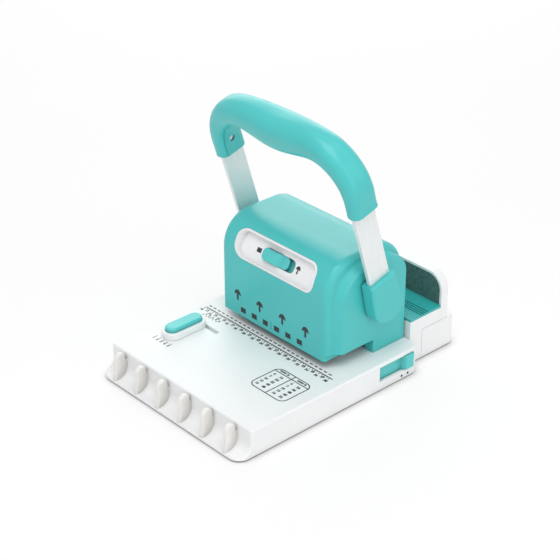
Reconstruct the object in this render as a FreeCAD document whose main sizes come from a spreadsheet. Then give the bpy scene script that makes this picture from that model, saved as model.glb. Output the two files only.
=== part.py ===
"""Desktop hand punch and binder for wire and disc spines, one solid per physical piece.

Lengths are in millimetres and angles in degrees. X runs across the machine, Y from the loading prongs at
the front to the chip drawer at the back, Z up. Each piece is drawn with y = 0 at the front lip and z = 0 on
the desk, and its placement then moves the middle of the machine over the origin.
"""

import FreeCAD
import Part
import math
import operator
import os
import Sketcher

SIZES = {
    # Whole machine
    "overall_depth": 236,
    "fit": 0.1,
    "running_gap": 0.3,
    "bearing_gap": 0.04,
    # Base moulding
    "base_width": 160,
    "base_depth": 184.5,
    "base_wall": 2.5,
    "base_bottom": 1.2,
    "table_height": 23.5,
    "table_thickness": 2.5,
    "table_edge": 1.5,
    "lip_height": 1.8,
    "lip_depth": 3,
    "scoop_radius": 9.5,
    "front_corner": 10,
    "rear_corner": 8,
    # Bottom plate, feet and screws
    "plate_thickness": 2,
    "foot_radius": 6,
    "foot_recess": 0.8,
    "foot_inset": 14,
    "post_radius": 4,
    "post_inset": 10,
    "screw_radius": 1.3,
    "screw_head_radius": 3,
    "screw_head_height": 1.2,
    "screw_reach": 9,
    # Loading prongs
    "hole_pitch": 12.7,
    "prong_width": 4,
    "prong_front": 1.9,
    "prong_depth": 9.4,
    "prong_rise": 1.2,
    "prong_toe": 1.4,
    "prong_toe_height": 6,
    "prong_edge": 1.2,
    "notch_depth": 2,
    # Punch and die
    "die_width": 100,
    "die_front": 127,
    "die_back": 158,
    "die_thickness": 4,
    "die_flange": 4,
    "die_gap": 0.1,
    "punch_row": 136,
    "square_side": 4,
    "disc_head_width": 6,
    "disc_head_depth": 3.6,
    "disc_head_round": 1.6,
    "disc_neck_width": 3,
    "disc_neck_depth": 9.5,
    "disc_shank_radius": 2.5,
    "disc_foot_height": 8,
    "disc_height": 18,
    "throat": 5.5,
    "guide_thickness": 6,
    "guide_front": 128,
    "guide_back": 152,
    "tip_lift": 0.5,
    "bar_height": 10,
    "bar_half_width": 51,
    "bar_front": 129,
    "bar_back": 150.5,
    "bar_notch_half": 10,
    "bar_notch_front": 139,
    "pin_spread": 46.5,
    "pin_row": 146,
    "pin_radius": 3.5,
    "pin_height": 37,
    "spring_radius": 4.6,
    "spring_wire": 0.6,
    "spring_turns": 4,
    # Selector
    "selector_width": 8,
    "selector_thickness": 1.6,
    "selector_left": 48.5,
    "selector_right": 43.5,
    "selector_window_width": 7,
    "selector_window_depth": 6,
    "fork_width": 10,
    "fork_thickness": 2.5,
    "fork_height": 34,
    "fork_throat": 15,
    # Frame and shaft
    "frame_inner": 52,
    "frame_thickness": 3,
    "frame_front": 120,
    "frame_leg_front": 152,
    "frame_back": 180,
    "frame_top": 86,
    "frame_round": 12,
    "spacer_radius": 3,
    "spacer_row": 168,
    "spacer_height": 40,
    "pivot_row": 152.5,
    "pivot_height": 70,
    "shaft_radius": 4,
    "bush_radius": 8,
    "bush_flange_radius": 10,
    "bush_flange": 1.5,
    "cam_radius": 15,
    "cam_throw": 9,
    "cam_angle": 60,
    "cam_inner": 22,
    "cam_width": 8,
    # Closer
    "crank_throw": 16,
    "crank_angle": 150,
    "crank_width": 8,
    "crank_thickness": 8,
    "crank_pin_radius": 2,
    "crank_pin_length": 17.2,
    "closer_half_width": 50,
    "closer_bottom": 46,
    "closer_top": 68,
    "closer_thickness": 3,
    "closer_arm_width": 4,
    "closer_arm_top": 63,
    "closer_slot_bottom": 50.5,
    "closer_slot_top": 59.5,
    "closer_slot_wall": 1.8,
    # Head cover
    "head_front": 105,
    "head_half_width": 58.5,
    "head_wall": 3,
    "axis_height": 72,
    "head_top": 110,
    "crown_round": 26,
    "skirt_height": 30.2,
    "leg_front": 149.3,
    "head_edge": 5,
    "pad_half_width": 64,
    "pad_inset": 12.5,
    "pad_flare": 7,
    "pad_setback": 2.1,
    "pad_round": 17,
    "pad_bottom": 35,
    "skirt_recess": 1.7,
    "shaft_hole_radius": 4.8,
    # Switch
    "panel_tilt": 30,
    "panel_length": 87,
    "panel_width": 24,
    "panel_round": 9,
    "panel_sink": 2.35,
    "panel_thickness": 3,
    "panel_rim_width": 1.8,
    "slot_length": 33,
    "slot_width": 10.5,
    "slot_round": 4,
    "switch_travel": 6.35,
    "switch_rise": 3.4,
    "switch_low": 0.3,
    "switch_button": 15,
    "switch_ramp": 4,
    "switch_edge": 1,
    "switch_plate": 1.7,
    "switch_plate_width": 15,
    "switch_pin_radius": 1.8,
    "switch_pin_end": 11,
    # Handle
    "handle_lean": 17,
    "arm_centre": 70.4,
    "arm_thickness": 3,
    "arm_width": 20,
    "arm_length": 107.7,
    "boot_inner": 64.8,
    "boot_outer": 76,
    "boot_half_width": 14.5,
    "boot_top_half_width": 12.5,
    "boot_top": 23,
    "boot_drop": 2,
    "boot_edge": 2,
    "leg_offset": 0.6,
    "leg_overlap": 19.7,
    "leg_width": 13.5,
    "leg_depth": 24.5,
    "leg_round": 6,
    "bow_inset": 6.7,
    "bow_radius": 34,
    "bar_end_width": 24.5,
    "bar_end_round": 11.5,
    "grip_width": 29.5,
    "grip_depth": 28,
    "grip_round": 12.5,
    "grip_drop": 1.8,
    "cheek_front": 8,
    "cheek_rise": 10.3,
    "grip_screw_inset": 7,
    "grip_screw_radius": 1.5,
    "grip_screw_head": 2.6,
    # Edge guide
    "fence_inset": 13.8,
    "fence_width": 17,
    "fence_front": 45.5,
    "fence_length": 39,
    "fence_height": 5.4,
    "fence_floor": 2,
    "fence_rim": 2.5,
    "fence_edge": 0.8,
    "fence_slot_row": 81.5,
    "fence_slot_width": 4,
    "fence_slot_inset": 10,
    "fence_slot_length": 33.2,
    "tongue_length": 9,
    "tongue_flange": 9,
    "tongue_flange_thickness": 2,
    "button_rise": 3.4,
    "button_travel": 1.5,
    "button_edge": 1.4,
    # Depth slider
    "window_front": 141,
    "window_back": 177,
    "window_bottom": 8,
    "window_top": 20.8,
    "slider_front": 134,
    "slider_back": 177.9,
    "slider_thickness": 2.3,
    "slider_overlap": 1.5,
    "tab_length": 8.4,
    "tab_ramp": 2.4,
    "tab_rise": 1.5,
    "tab_edge": 0.6,
    "depth_travel": 6.6,
    "stop_row": 149,
    "stop_radius": 2,
    "stop_rise": 4.3,
    "stop_bar_depth": 8,
    "stop_bar_height": 3.7,
    "stop_bar_left": 30,
    # Rear unit
    "rear_half_width": 69,
    "seam_row": 198,
    "seam_gap": 0.3,
    "rear_deck": 26.8,
    "platform_height": 40,
    "platform_thickness": 2,
    "groove_row": 196.5,
    "groove_pitch": 2.5,
    "groove_width": 1,
    "groove_depth": 0.8,
    "wall_front": 218.4,
    "wall_thickness": 9.1,
    "wall_top": 65.5,
    "wall_round": 14,
    "wall_edge": 3,
    "foam_thickness": 1.6,
    "foam_inset": 2,
    # Chip drawer
    "drawer_half_width": 57,
    "drawer_front": 122,
    "drawer_wall": 2,
    "drawer_floor": 2,
    "drawer_tray_top": 14.8,
    "drawer_corner": 6,
    "pull_half_width": 20,
    "pull_bottom": 7,
    "pull_top": 15,
    "pull_depth": 1.6,
}

PRONGS = 6
SQUARES = 6
DISCS = 4
SELECTOR_WINDOWS = 7
GROOVES = 4
BOW_STEPS = 4
FLARE_STEPS = 5
RIGHT_ANGLE = 90

document = FreeCAD.newDocument("punch_binder")
sheet = document.addObject("Spreadsheet::Sheet", "Sizes")
pieces = []


class Size:
    """A dimension that carries its value and the sheet formula behind it."""

    def __init__(self, value, formula):
        self.value = value
        self.formula = formula

    def __add__(self, other):
        return combine(self, "+", other)

    def __radd__(self, other):
        return combine(other, "+", self)

    def __sub__(self, other):
        return combine(self, "-", other)

    def __rsub__(self, other):
        return combine(other, "-", self)

    def __mul__(self, other):
        return combine(self, "*", other)

    def __rmul__(self, other):
        return combine(other, "*", self)

    def __truediv__(self, other):
        return combine(self, "/", other)

    def __neg__(self):
        return combine(0, "-", self)


OPERATIONS = {"+": operator.add, "-": operator.sub, "*": operator.mul, "/": operator.truediv}


def as_size(number):
    """A Size, also for a bare count or factor."""
    if isinstance(number, Size):
        return number
    return Size(float(number), f"({number})")


def combine(left, sign, right):
    """The two dimensions joined by one arithmetic sign."""
    left = as_size(left)
    right = as_size(right)
    value = OPERATIONS[sign](left.value, right.value)
    return Size(value, f"({left.formula} {sign} {right.formula})")


def sine(angle):
    """Sine of an angle in degrees."""
    return Size(math.sin(math.radians(angle.value)), f"sin({angle.formula})")


def cosine(angle):
    """Cosine of an angle in degrees."""
    return Size(math.cos(math.radians(angle.value)), f"cos({angle.formula})")


def fill_sheet():
    """Writes the driving dimensions to the sheet and returns them as linked sizes."""
    for row, (name, value) in enumerate(SIZES.items(), start=1):
        sheet.set(f"A{row}", name)
        sheet.set(f"B{row}", str(value))
        sheet.setAlias(f"B{row}", name)
    document.recompute()
    return {name: Size(float(value), f"Sizes.{name}") for name, value in SIZES.items()}


def bind(thing, **links):
    """Ties properties of an object to sheet formulas."""
    for name, size in links.items():
        thing.setExpression(name, as_size(size).formula)


def put(thing, x=0, y=0, z=0, turn=None):
    """Places an object, with an optional turn of (axis, Size of its angle)."""
    if turn:
        axis, angle = turn
        rotation = FreeCAD.Rotation(axis, angle.value)
        thing.Placement = FreeCAD.Placement(FreeCAD.Vector(), rotation)
        thing.setExpression("Placement.Rotation.Angle", angle.formula)
    for letter, size in zip("xyz", (x, y, z)):
        thing.setExpression(f"Placement.Base.{letter}", as_size(size).formula)


X_AXIS = FreeCAD.Vector(1, 0, 0)
Y_AXIS = FreeCAD.Vector(0, 1, 0)


def rectangle(left, right, low, high, rounding=0):
    """Closed outline of a rectangle with all its corners rounded alike."""
    return [(left, low, rounding), (right, low, rounding), (right, high, rounding), (left, high, rounding)]


def circle(across, up, radius):
    """Closed round outline."""
    return ("circle", across, up, radius)


def fix_point(sketch, index, end, point):
    """Holds one end of a sketch edge at its sheet coordinates."""
    for kind, size in zip(("DistanceX", "DistanceY"), point):
        size = as_size(size)
        number = sketch.addConstraint(Sketcher.Constraint(kind, index, end, size.value))
        sketch.setExpression(f"Constraints[{number}]", size.formula)


def fix_radius(sketch, index, radius):
    """Holds the radius of a sketch arc or circle."""
    radius = as_size(radius)
    number = sketch.addConstraint(Sketcher.Constraint("Radius", index, radius.value))
    sketch.setExpression(f"Constraints[{number}]", radius.formula)


def flat(point):
    """The numeric place of a sketch point."""
    return FreeCAD.Vector(as_size(point[0]).value, as_size(point[1]).value, 0)


def add_arc(sketch, start, finish, bend):
    """Adds an arc that turns left for a positive radius and right for a negative one.

    Returns its index and the numbers of its ends in path order.
    """
    left = as_size(bend).value > 0
    radius = abs(as_size(bend).value)
    first = flat(start)
    last = flat(finish)
    chord = last - first
    middle = (first + last) * 0.5
    across = FreeCAD.Vector(-chord.y, chord.x, 0)
    across.normalize()
    height = math.sqrt(max(radius**2 - (chord.Length / 2) ** 2, 0))
    centre = middle + across * (height if left else -height)
    if not left:
        first, last = last, first
    begin = math.atan2(first.y - centre.y, first.x - centre.x)
    end = math.atan2(last.y - centre.y, last.x - centre.x)
    ring = Part.Circle(centre, FreeCAD.Vector(0, 0, 1), radius)
    index = sketch.addGeometry(Part.ArcOfCircle(ring, begin, end))
    fix_radius(sketch, index, bend if left else -bend)
    return (index, 1, 2) if left else (index, 2, 1)


def sign_towards(start, finish):
    """-1, 0 or 1 on each axis, from one corner to the next."""
    step = flat(finish) - flat(start)
    return [0 if abs(value) < 1e-6 else math.copysign(1, value) for value in (step.x, step.y)]


def corner_points(before, corner, after):
    """Where the edges beside a corner end, and the radius that joins them."""
    across, up = corner[0], corner[1]
    rounding = corner[2] if len(corner) > 2 else 0
    if as_size(rounding).value == 0:
        return (across, up), (across, up), 0
    back = sign_towards(corner, before)
    ahead = sign_towards(corner, after)
    entry = (across + rounding * back[0], up + rounding * back[1])
    leave = (across + rounding * ahead[0], up + rounding * ahead[1])
    turns_left = back[1] * ahead[0] - back[0] * ahead[1] > 0
    return entry, leave, (rounding if turns_left else -rounding)


def draw(sketch, loop):
    """Draws one closed outline: a circle, or corners of (across, up, rounding, bend of the next edge)."""
    if loop[0] == "circle":
        centre, radius = loop[1:3], loop[3]
        ring = Part.Circle(flat(centre), FreeCAD.Vector(0, 0, 1), as_size(radius).value)
        index = sketch.addGeometry(ring)
        fix_point(sketch, index, 3, centre)
        fix_radius(sketch, index, radius)
        return
    spots = [corner_points(loop[i - 1], loop[i], loop[(i + 1) % len(loop)]) for i in range(len(loop))]
    edges = []
    for i, (entry, leave, rounding) in enumerate(spots):
        if rounding:
            edges.append((*add_arc(sketch, entry, leave, rounding), entry))
        next_entry = spots[(i + 1) % len(spots)][0]
        if (flat(next_entry) - flat(leave)).Length < 1e-6:
            continue
        bend = loop[i][3] if len(loop[i]) > 3 else 0
        if bend:
            edges.append((*add_arc(sketch, leave, next_entry, bend), leave))
        else:
            line = Part.LineSegment(flat(leave), flat(next_entry))
            edges.append((sketch.addGeometry(line), 1, 2, leave))
    for i, (index, first, last, start) in enumerate(edges):
        following, its_first = edges[(i + 1) % len(edges)][:2]
        sketch.addConstraint(Sketcher.Constraint("Coincident", index, last, following, its_first))
        fix_point(sketch, index, first, start)


def new_body(name):
    """An empty body with the given name."""
    return document.addObject("PartDesign::Body", name)


def add_sketch(body, plane, offset, loops):
    """A sketch of closed outlines on a plane of the body, moved along the plane's normal."""
    sketch = body.newObject("Sketcher::SketchObject", f"{body.Name}_outline")
    support = [item for item in body.Origin.OriginFeatures if item.Role == f"{plane}_Plane"]
    sketch.AttachmentSupport = [(support[0], "")]
    sketch.MapMode = "FlatFace"
    sketch.setExpression("AttachmentOffset.Base.z", as_size(offset).formula)
    for loop in loops:
        draw(sketch, loop)
    return sketch


def grow(kind, body, sketch, length):
    """A pad or pocket of the sketch, tested to have changed the solid."""
    before = body.Shape.Volume if body.Tip and not body.Shape.isNull() else 0
    feature = body.newObject(f"PartDesign::{kind}", f"{body.Name}_{kind.lower()}")
    feature.Profile = sketch
    bind(feature, Length=length)
    document.recompute()
    change = body.Shape.Volume - before
    if (change > 0) != (kind == "Pad") or abs(change) < 1e-3:
        raise ValueError(f"{feature.Name} leaves {body.Name} as it was")
    return feature


def pad(body, plane, low, high, *loops):
    """Adds material over the outlines between two heights along the plane's axis."""
    offset = -as_size(high) if plane == "XZ" else low
    return grow("Pad", body, add_sketch(body, plane, offset, loops), high - low)


def pocket(body, plane, low, high, *loops):
    """Removes material under the outlines between two heights along the plane's axis."""
    offset = -as_size(low) if plane == "XZ" else high
    return grow("Pocket", body, add_sketch(body, plane, offset, loops), high - low)


def soften(body, radius, wanted):
    """Rounds the edges of the body that the test picks."""
    names = [f"Edge{i}" for i, edge in enumerate(body.Shape.Edges, start=1) if wanted(edge)]
    if not names:
        raise ValueError(f"no edge of {body.Name} to round")
    base = body.Tip
    feature = body.newObject("PartDesign::Fillet", f"{body.Name}_fillet")
    feature.Base = (base, names)
    bind(feature, Radius=radius)
    document.recompute()
    return feature


def spans(edge):
    """The lengths of an edge's box along X, Y and Z."""
    box = edge.BoundBox
    return box.XLength, box.YLength, box.ZLength


def near(value, size):
    """True where a coordinate lies on a dimension."""
    return abs(value - as_size(size).value) < 1e-3


def block(left, right, front, back, low, high):
    """A plain box between two places on each axis."""
    box = document.addObject("Part::Box", "block")
    bind(box, Length=right - left, Width=back - front, Height=high - low)
    put(box, left, front, low)
    return box


def upright(x, y, radius, low, high):
    """A round bar along Z."""
    bar = document.addObject("Part::Cylinder", "upright")
    bind(bar, Radius=radius, Height=high - low)
    put(bar, x, y, low)
    return bar


def crossbar(y, z, radius, left, right):
    """A round bar along X."""
    bar = document.addObject("Part::Cylinder", "crossbar")
    bind(bar, Radius=radius, Height=right - left)
    bar.Placement = FreeCAD.Placement(FreeCAD.Vector(), FreeCAD.Rotation(Y_AXIS, 90))
    put(bar, left, y, z)
    return bar


def fuse(name, shapes):
    """One solid from shapes that meet."""
    whole = document.addObject("Part::MultiFuse", name)
    whole.Shapes = shapes
    return whole


def cut(name, base, tools):
    """The base without the tools."""
    rest = document.addObject("Part::Cut", name)
    rest.Base = base
    rest.Tool = tools[0] if len(tools) == 1 else fuse(f"{name}_tools", tools)
    return rest


def group(name, shapes):
    """Separate solids kept as one piece list."""
    together = document.addObject("Part::Compound", name)
    together.Links = shapes
    return together


def keep(thing, label, x=0, y=0, z=0, turn=None):
    """Names a finished piece and sets it over the origin."""
    thing.Label = label
    put(thing, x, y - size["overall_depth"] / 2, z, turn)
    pieces.append(thing)


size = fill_sheet()
fit = size["fit"]
gap = size["running_gap"]
base_half = size["base_width"] / 2
base_bottom = size["base_bottom"]
table = size["table_height"]
table_underside = table - size["table_thickness"]
ledge = base_bottom + size["lip_height"]
scoop_back = size["lip_depth"] + size["scoop_radius"]
scoop_top = ledge + size["scoop_radius"]
cavity_half = base_half - size["base_wall"]
cavity_front = scoop_back + size["base_wall"]
cavity_back = size["base_depth"] - size["base_wall"]
cavity_corner = size["rear_corner"] - size["base_wall"]
plate_top = base_bottom + size["plate_thickness"]
post_x = cavity_half - size["post_inset"]
post_rows = (cavity_front + size["post_inset"], cavity_back - size["post_inset"])
post_spots = [(side * post_x, row) for side in (-1, 1) for row in post_rows]
foot_x = base_half - size["foot_inset"]
foot_rows = (cavity_front + size["foot_inset"] * 2, cavity_back - size["foot_inset"] * 2)
foot_spots = [(side * foot_x, row) for side in (-1, 1) for row in foot_rows]
foot_top = base_bottom + size["foot_recess"]
screw_head_top = base_bottom + size["fit"] + size["screw_head_height"]
fence_slot_left = size["fence_slot_inset"] - base_half
fence_slot_right = fence_slot_left + size["fence_slot_length"]
pivot_y = size["pivot_row"]
pivot_z = size["pivot_height"]
row = size["punch_row"]
prong_spots = [(i - (PRONGS - 1) / 2) * 2 * size["hole_pitch"] for i in range(PRONGS)]
square_spots = [(i - (SQUARES - 1) / 2) * size["hole_pitch"] for i in range(SQUARES)]
disc_spots = [(i - (DISCS - 1) / 2) * 2 * size["hole_pitch"] for i in range(DISCS)]
die_half = size["die_width"] / 2
die_bottom = table - size["die_thickness"]
guide_bottom = table + size["throat"]
guide_top = guide_bottom + size["guide_thickness"]
punch_tip = guide_bottom + size["tip_lift"]
cam_rise = size["cam_throw"] * cosine(size["cam_angle"])
bar_top = pivot_z + cam_rise - size["cam_radius"] - gap
bar_bottom = bar_top - size["bar_height"]
selector_low = bar_top - gap - size["selector_thickness"]
groove_floor = selector_low - gap
stop_spots = [side * 2 * size["hole_pitch"] for side in (-1, 1)]
head_back = size["base_depth"]
half_depth = (head_back - size["head_front"]) / 2
axis_y = size["head_front"] + half_depth
axis_z = size["axis_height"]


def mushroom(x, margin):
    """Outline of one disc hole, widened by the margin."""
    head = size["disc_head_width"] / 2 + margin
    neck = size["disc_neck_width"] / 2 + margin
    front = row - size["disc_head_depth"] / 2 - margin
    shoulder = row + size["disc_head_depth"] / 2 + margin
    back = shoulder + size["disc_neck_depth"]
    rounding = size["disc_head_round"]
    return [
        (x - head, front, rounding),
        (x + head, front, rounding),
        (x + head, shoulder),
        (x + neck, shoulder),
        (x + neck, back),
        (x - neck, back),
        (x - neck, shoulder),
        (x - head, shoulder),
    ]


def square(x, margin):
    """Outline of one square hole, widened by the margin."""
    half = size["square_side"] / 2 + margin
    return rectangle(x - half, x + half, row - half, row + half)


def stop_slots():
    """Outlines of the slots that the depth stop pins run in."""
    half = size["stop_radius"] + gap
    front = size["stop_row"] - size["depth_travel"] - half
    back = size["stop_row"] + half
    return [rectangle(x - half, x + half, front, back, half * 0.9) for x in stop_spots]


def make_base_shell():
    """White base with a scooped front lip, a flat table and a hollow underside."""
    body = new_body("base_shell")
    side = [
        (0, base_bottom),
        (0, ledge),
        (size["lip_depth"], ledge, 0, size["scoop_radius"]),
        (scoop_back, scoop_top),
        (scoop_back, table),
        (size["base_depth"], table),
        (size["base_depth"], base_bottom),
    ]
    pad(body, "YZ", -base_half, base_half, side)
    front_round = size["front_corner"]
    rear_round = size["rear_corner"]
    plan = [
        (-base_half, 0, front_round),
        (base_half, 0, front_round),
        (base_half, size["base_depth"], rear_round),
        (-base_half, size["base_depth"], rear_round),
    ]
    margin = size["base_wall"]
    around = rectangle(-base_half - margin, base_half + margin, -margin, size["base_depth"] + margin)
    pocket(body, "XY", 0, table, around, plan)

    def outer_edge(edge):
        across, deep, tall = spans(edge)
        on_top = tall < 1e-3 and near(edge.BoundBox.ZMax, table)
        upright_front = tall > 1 and deep < 1e-3 and across < 1e-3
        return on_top or (upright_front and near(edge.BoundBox.YMax, scoop_back))

    soften(body, size["table_edge"], outer_edge)
    cavity = rectangle(-cavity_half, cavity_half, cavity_front, cavity_back, cavity_corner)
    pocket(body, "XY", 0, table_underside, cavity)
    posts = [circle(x, y, size["post_radius"]) for x, y in post_spots]
    pad(body, "XY", plate_top, table_underside, *posts)
    pilots = [circle(x, y, size["screw_radius"] + fit) for x, y in post_spots]
    pocket(body, "XY", plate_top, plate_top + size["screw_reach"], *pilots)
    die = rectangle(-die_half - fit, die_half + fit, size["die_front"] - fit, size["die_back"] + fit)
    slot_half = size["fence_slot_width"] / 2
    slot_row = size["fence_slot_row"]
    slot = rectangle(fence_slot_left, fence_slot_right, slot_row - slot_half, slot_row + slot_half)
    pocket(body, "XY", table_underside, table, die, slot)
    window = rectangle(
        size["window_front"], size["window_back"], size["window_bottom"], size["window_top"]
    )
    pocket(body, "YZ", cavity_half, base_half, window)
    tunnel_half = size["drawer_half_width"] + gap
    tunnel = rectangle(-tunnel_half, tunnel_half, base_bottom, size["drawer_tray_top"] + gap)
    pocket(body, "XZ", cavity_back, size["base_depth"], tunnel)
    keep(body, "base_shell")


def make_base_plate():
    """Bottom plate with recesses for the feet and countersinks for the screws."""
    body = new_body("base_plate")
    edge = fit * 2
    outline = rectangle(
        edge - cavity_half, cavity_half - edge, cavity_front + edge, cavity_back - edge, cavity_corner
    )
    pad(body, "XY", base_bottom, plate_top, outline)
    recesses = [circle(x, y, size["foot_radius"] + fit) for x, y in foot_spots]
    pocket(body, "XY", base_bottom, foot_top, *recesses)
    sinks = [circle(x, y, size["screw_head_radius"] + fit) for x, y in post_spots]
    pocket(body, "XY", base_bottom, screw_head_top, *sinks)
    holes = [circle(x, y, size["screw_radius"] + fit) for x, y in post_spots]
    pocket(body, "XY", base_bottom, plate_top, *holes)
    keep(body, "base_plate")


def make_feet_and_screws():
    """Rubber feet under the plate, and the screws that hold it."""
    feet = [upright(x, y, size["foot_radius"], 0, foot_top) for x, y in foot_spots]
    keep(group("rubber_feet", feet), "rubber_feet")
    screws = []
    for x, y in post_spots:
        head = upright(x, y, size["screw_head_radius"], base_bottom + fit, screw_head_top)
        shank = upright(x, y, size["screw_radius"], base_bottom + fit, screw_head_top + size["screw_reach"])
        screws.append(fuse("base_screw", [head, shank]))
    keep(group("base_screws", screws), "base_screws")


def make_prongs():
    """Six round-topped fins in the scoop, with a spread toe in front and a notch behind the tip."""
    front = size["prong_front"]
    bend = size["prong_depth"] / 2
    back = front + size["prong_depth"]
    shoulder = table + size["prong_rise"] - bend
    notch = shoulder - size["notch_depth"]
    side = [
        (front - size["prong_toe"], ledge),
        (size["lip_depth"], ledge, 0, size["scoop_radius"]),
        (scoop_back, scoop_top),
        (scoop_back, notch),
        (back, notch),
        (back, shoulder, 0, bend),
        (front + bend, shoulder + bend, 0, bend),
        (front, shoulder),
        (front, ledge + size["prong_toe_height"]),
    ]

    def leading_edge(edge):
        across, deep, tall = spans(edge)
        ahead = edge.BoundBox.YMax < back.value + 1e-3 and edge.BoundBox.YMin < back.value - 1
        return across < 1e-3 and tall > 1 and ahead

    prongs = []
    for centre in prong_spots:
        body = new_body("prong")
        pad(body, "YZ", centre - size["prong_width"] / 2, centre + size["prong_width"] / 2, side)
        soften(body, size["prong_edge"], leading_edge)
        prongs.append(body)
    keep(group("comb_prongs", prongs), "comb_prongs")


def make_die_plate():
    """Hardened plate flush with the table, with square holes, disc holes and stop slots."""
    body = new_body("die_plate")
    pad(body, "XY", die_bottom, table, rectangle(-die_half, die_half, size["die_front"], size["die_back"]))
    reach = die_half + size["die_flange"]
    flange = rectangle(-reach, reach, size["die_front"], size["die_back"])
    pad(body, "XY", die_bottom, table_underside, flange)
    holes = [square(x, size["die_gap"]) for x in square_spots]
    holes += [mushroom(x, size["die_gap"]) for x in disc_spots]
    pocket(body, "XY", die_bottom, table, *holes, *stop_slots())
    keep(body, "die_plate")


def make_punch_guide():
    """Plate over the throat that guides both sets of punches and strips the paper off them."""
    body = new_body("punch_guide")
    half = size["frame_inner"]
    pad(body, "XY", guide_bottom, guide_top, rectangle(-half, half, size["guide_front"], size["guide_back"]))
    holes = [square(x, size["bearing_gap"]) for x in square_spots]
    holes += [mushroom(x, size["bearing_gap"]) for x in disc_spots]
    seat = size["pin_radius"] + fit / 5
    pins = [circle(side * size["pin_spread"], size["pin_row"], seat) for side in (-1, 1)]
    pocket(body, "XY", guide_bottom, guide_top, *holes, *pins)
    keep(body, "punch_guide")


def make_punches():
    """Square punches carried by the bar, and disc punches parked in the guide."""
    half = size["square_side"] / 2
    top = groove_floor
    squares = [block(x - half, x + half, row - half, row + half, punch_tip, top) for x in square_spots]
    keep(group("square_punches", squares), "square_punches")
    discs = []
    for x in disc_spots:
        body = new_body("disc_punch")
        shoulder = punch_tip + size["disc_foot_height"]
        pad(body, "XY", punch_tip, shoulder, mushroom(x, 0))
        pad(body, "XY", shoulder, punch_tip + size["disc_height"], circle(x, row, size["disc_shank_radius"]))
        discs.append(body)
    keep(group("disc_punches", discs), "disc_punches")


def make_punch_bar():
    """Pressure bar over the punches, grooved for the selector and bored for its guide pins."""
    body = new_body("punch_bar")
    half = size["bar_half_width"]
    front = size["bar_front"]
    back = size["bar_back"]
    notch = size["bar_notch_half"]
    notch_front = size["bar_notch_front"]
    outline = [
        (-half, front),
        (half, front),
        (half, back),
        (notch, back),
        (notch, notch_front),
        (-notch, notch_front),
        (-notch, back),
        (-half, back),
    ]
    pad(body, "XY", bar_bottom, bar_top, outline)
    groove = size["selector_width"] / 2 + gap
    pocket(body, "XY", groove_floor, bar_top, rectangle(-half, half, row - groove, row + groove))
    holes = [square(x, fit / 5) for x in square_spots]
    holes += [circle(x, row, size["disc_shank_radius"] + gap) for x in disc_spots]
    bore = size["pin_radius"] + size["bearing_gap"]
    pins = [circle(side * size["pin_spread"], size["pin_row"], bore) for side in (-1, 1)]
    pocket(body, "XY", bar_bottom, bar_top, *holes, *pins)
    keep(body, "punch_bar")


def make_guide_pins():
    """Two pillars that keep the pressure bar level."""
    top = guide_bottom + size["pin_height"]
    spots = [side * size["pin_spread"] for side in (-1, 1)]
    pins = [upright(x, size["pin_row"], size["pin_radius"], guide_bottom, top) for x in spots]
    keep(group("bar_guide_pins", pins), "bar_guide_pins")


def make_selector():
    """Sliding plate over the punches, with a fork that the switch pin moves."""
    body = new_body("selector_plate")
    half = size["selector_width"] / 2
    plate = rectangle(-size["selector_left"], size["selector_right"], row - half, row + half)
    top = selector_low + size["selector_thickness"]
    pad(body, "XY", selector_low, top, plate)
    wide = size["selector_window_width"] / 2
    deep = size["selector_window_depth"] / 2
    middles = [(i - (SELECTOR_WINDOWS - 1) / 2) * size["hole_pitch"] for i in range(SELECTOR_WINDOWS)]
    windows = [rectangle(x - wide, x + wide, row - deep, row + deep) for x in middles]
    pocket(body, "XY", selector_low, top, *windows)
    middle = -size["switch_travel"] / 2
    outer = size["fork_width"] / 2
    inner = size["switch_pin_radius"] + gap
    fork_top = top + size["fork_height"]
    fork_low = top + size["fork_throat"]
    fork = [
        (middle - outer, selector_low),
        (middle + outer, selector_low),
        (middle + outer, fork_top),
        (middle + inner, fork_top),
        (middle + inner, fork_low),
        (middle - inner, fork_low),
        (middle - inner, fork_top),
        (middle - outer, fork_top),
    ]
    front = row - half
    pad(body, "XZ", front, front + size["fork_thickness"], fork)
    keep(body, "selector_plate")


def make_springs():
    """Compression coils round the guide pins, one unbroken wire each."""
    coils = []
    for side in (-1, 1):
        path = document.addObject("Part::Helix", "spring_path")
        height = bar_bottom - guide_top - 2 * size["spring_wire"]
        bind(path, Radius=size["spring_radius"], Height=height, Pitch=height / size["spring_turns"])
        put(path, side * size["pin_spread"], size["pin_row"], guide_top + size["spring_wire"])
        ring = document.addObject("Part::Circle", "spring_wire")
        bind(ring, Radius=size["spring_wire"])
        ring.Placement = FreeCAD.Placement(FreeCAD.Vector(), FreeCAD.Rotation(X_AXIS, 90))
        across = side * size["pin_spread"] + size["spring_radius"]
        put(ring, across, size["pin_row"], guide_top + size["spring_wire"])
        coil = document.addObject("Part::Sweep", "spring")
        coil.Sections = [ring]
        coil.Spine = (path, ["Edge1"])
        coil.Solid = True
        coil.Frenet = True
        coils.append(coil)
    keep(group("return_springs", coils), "return_springs")


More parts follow.
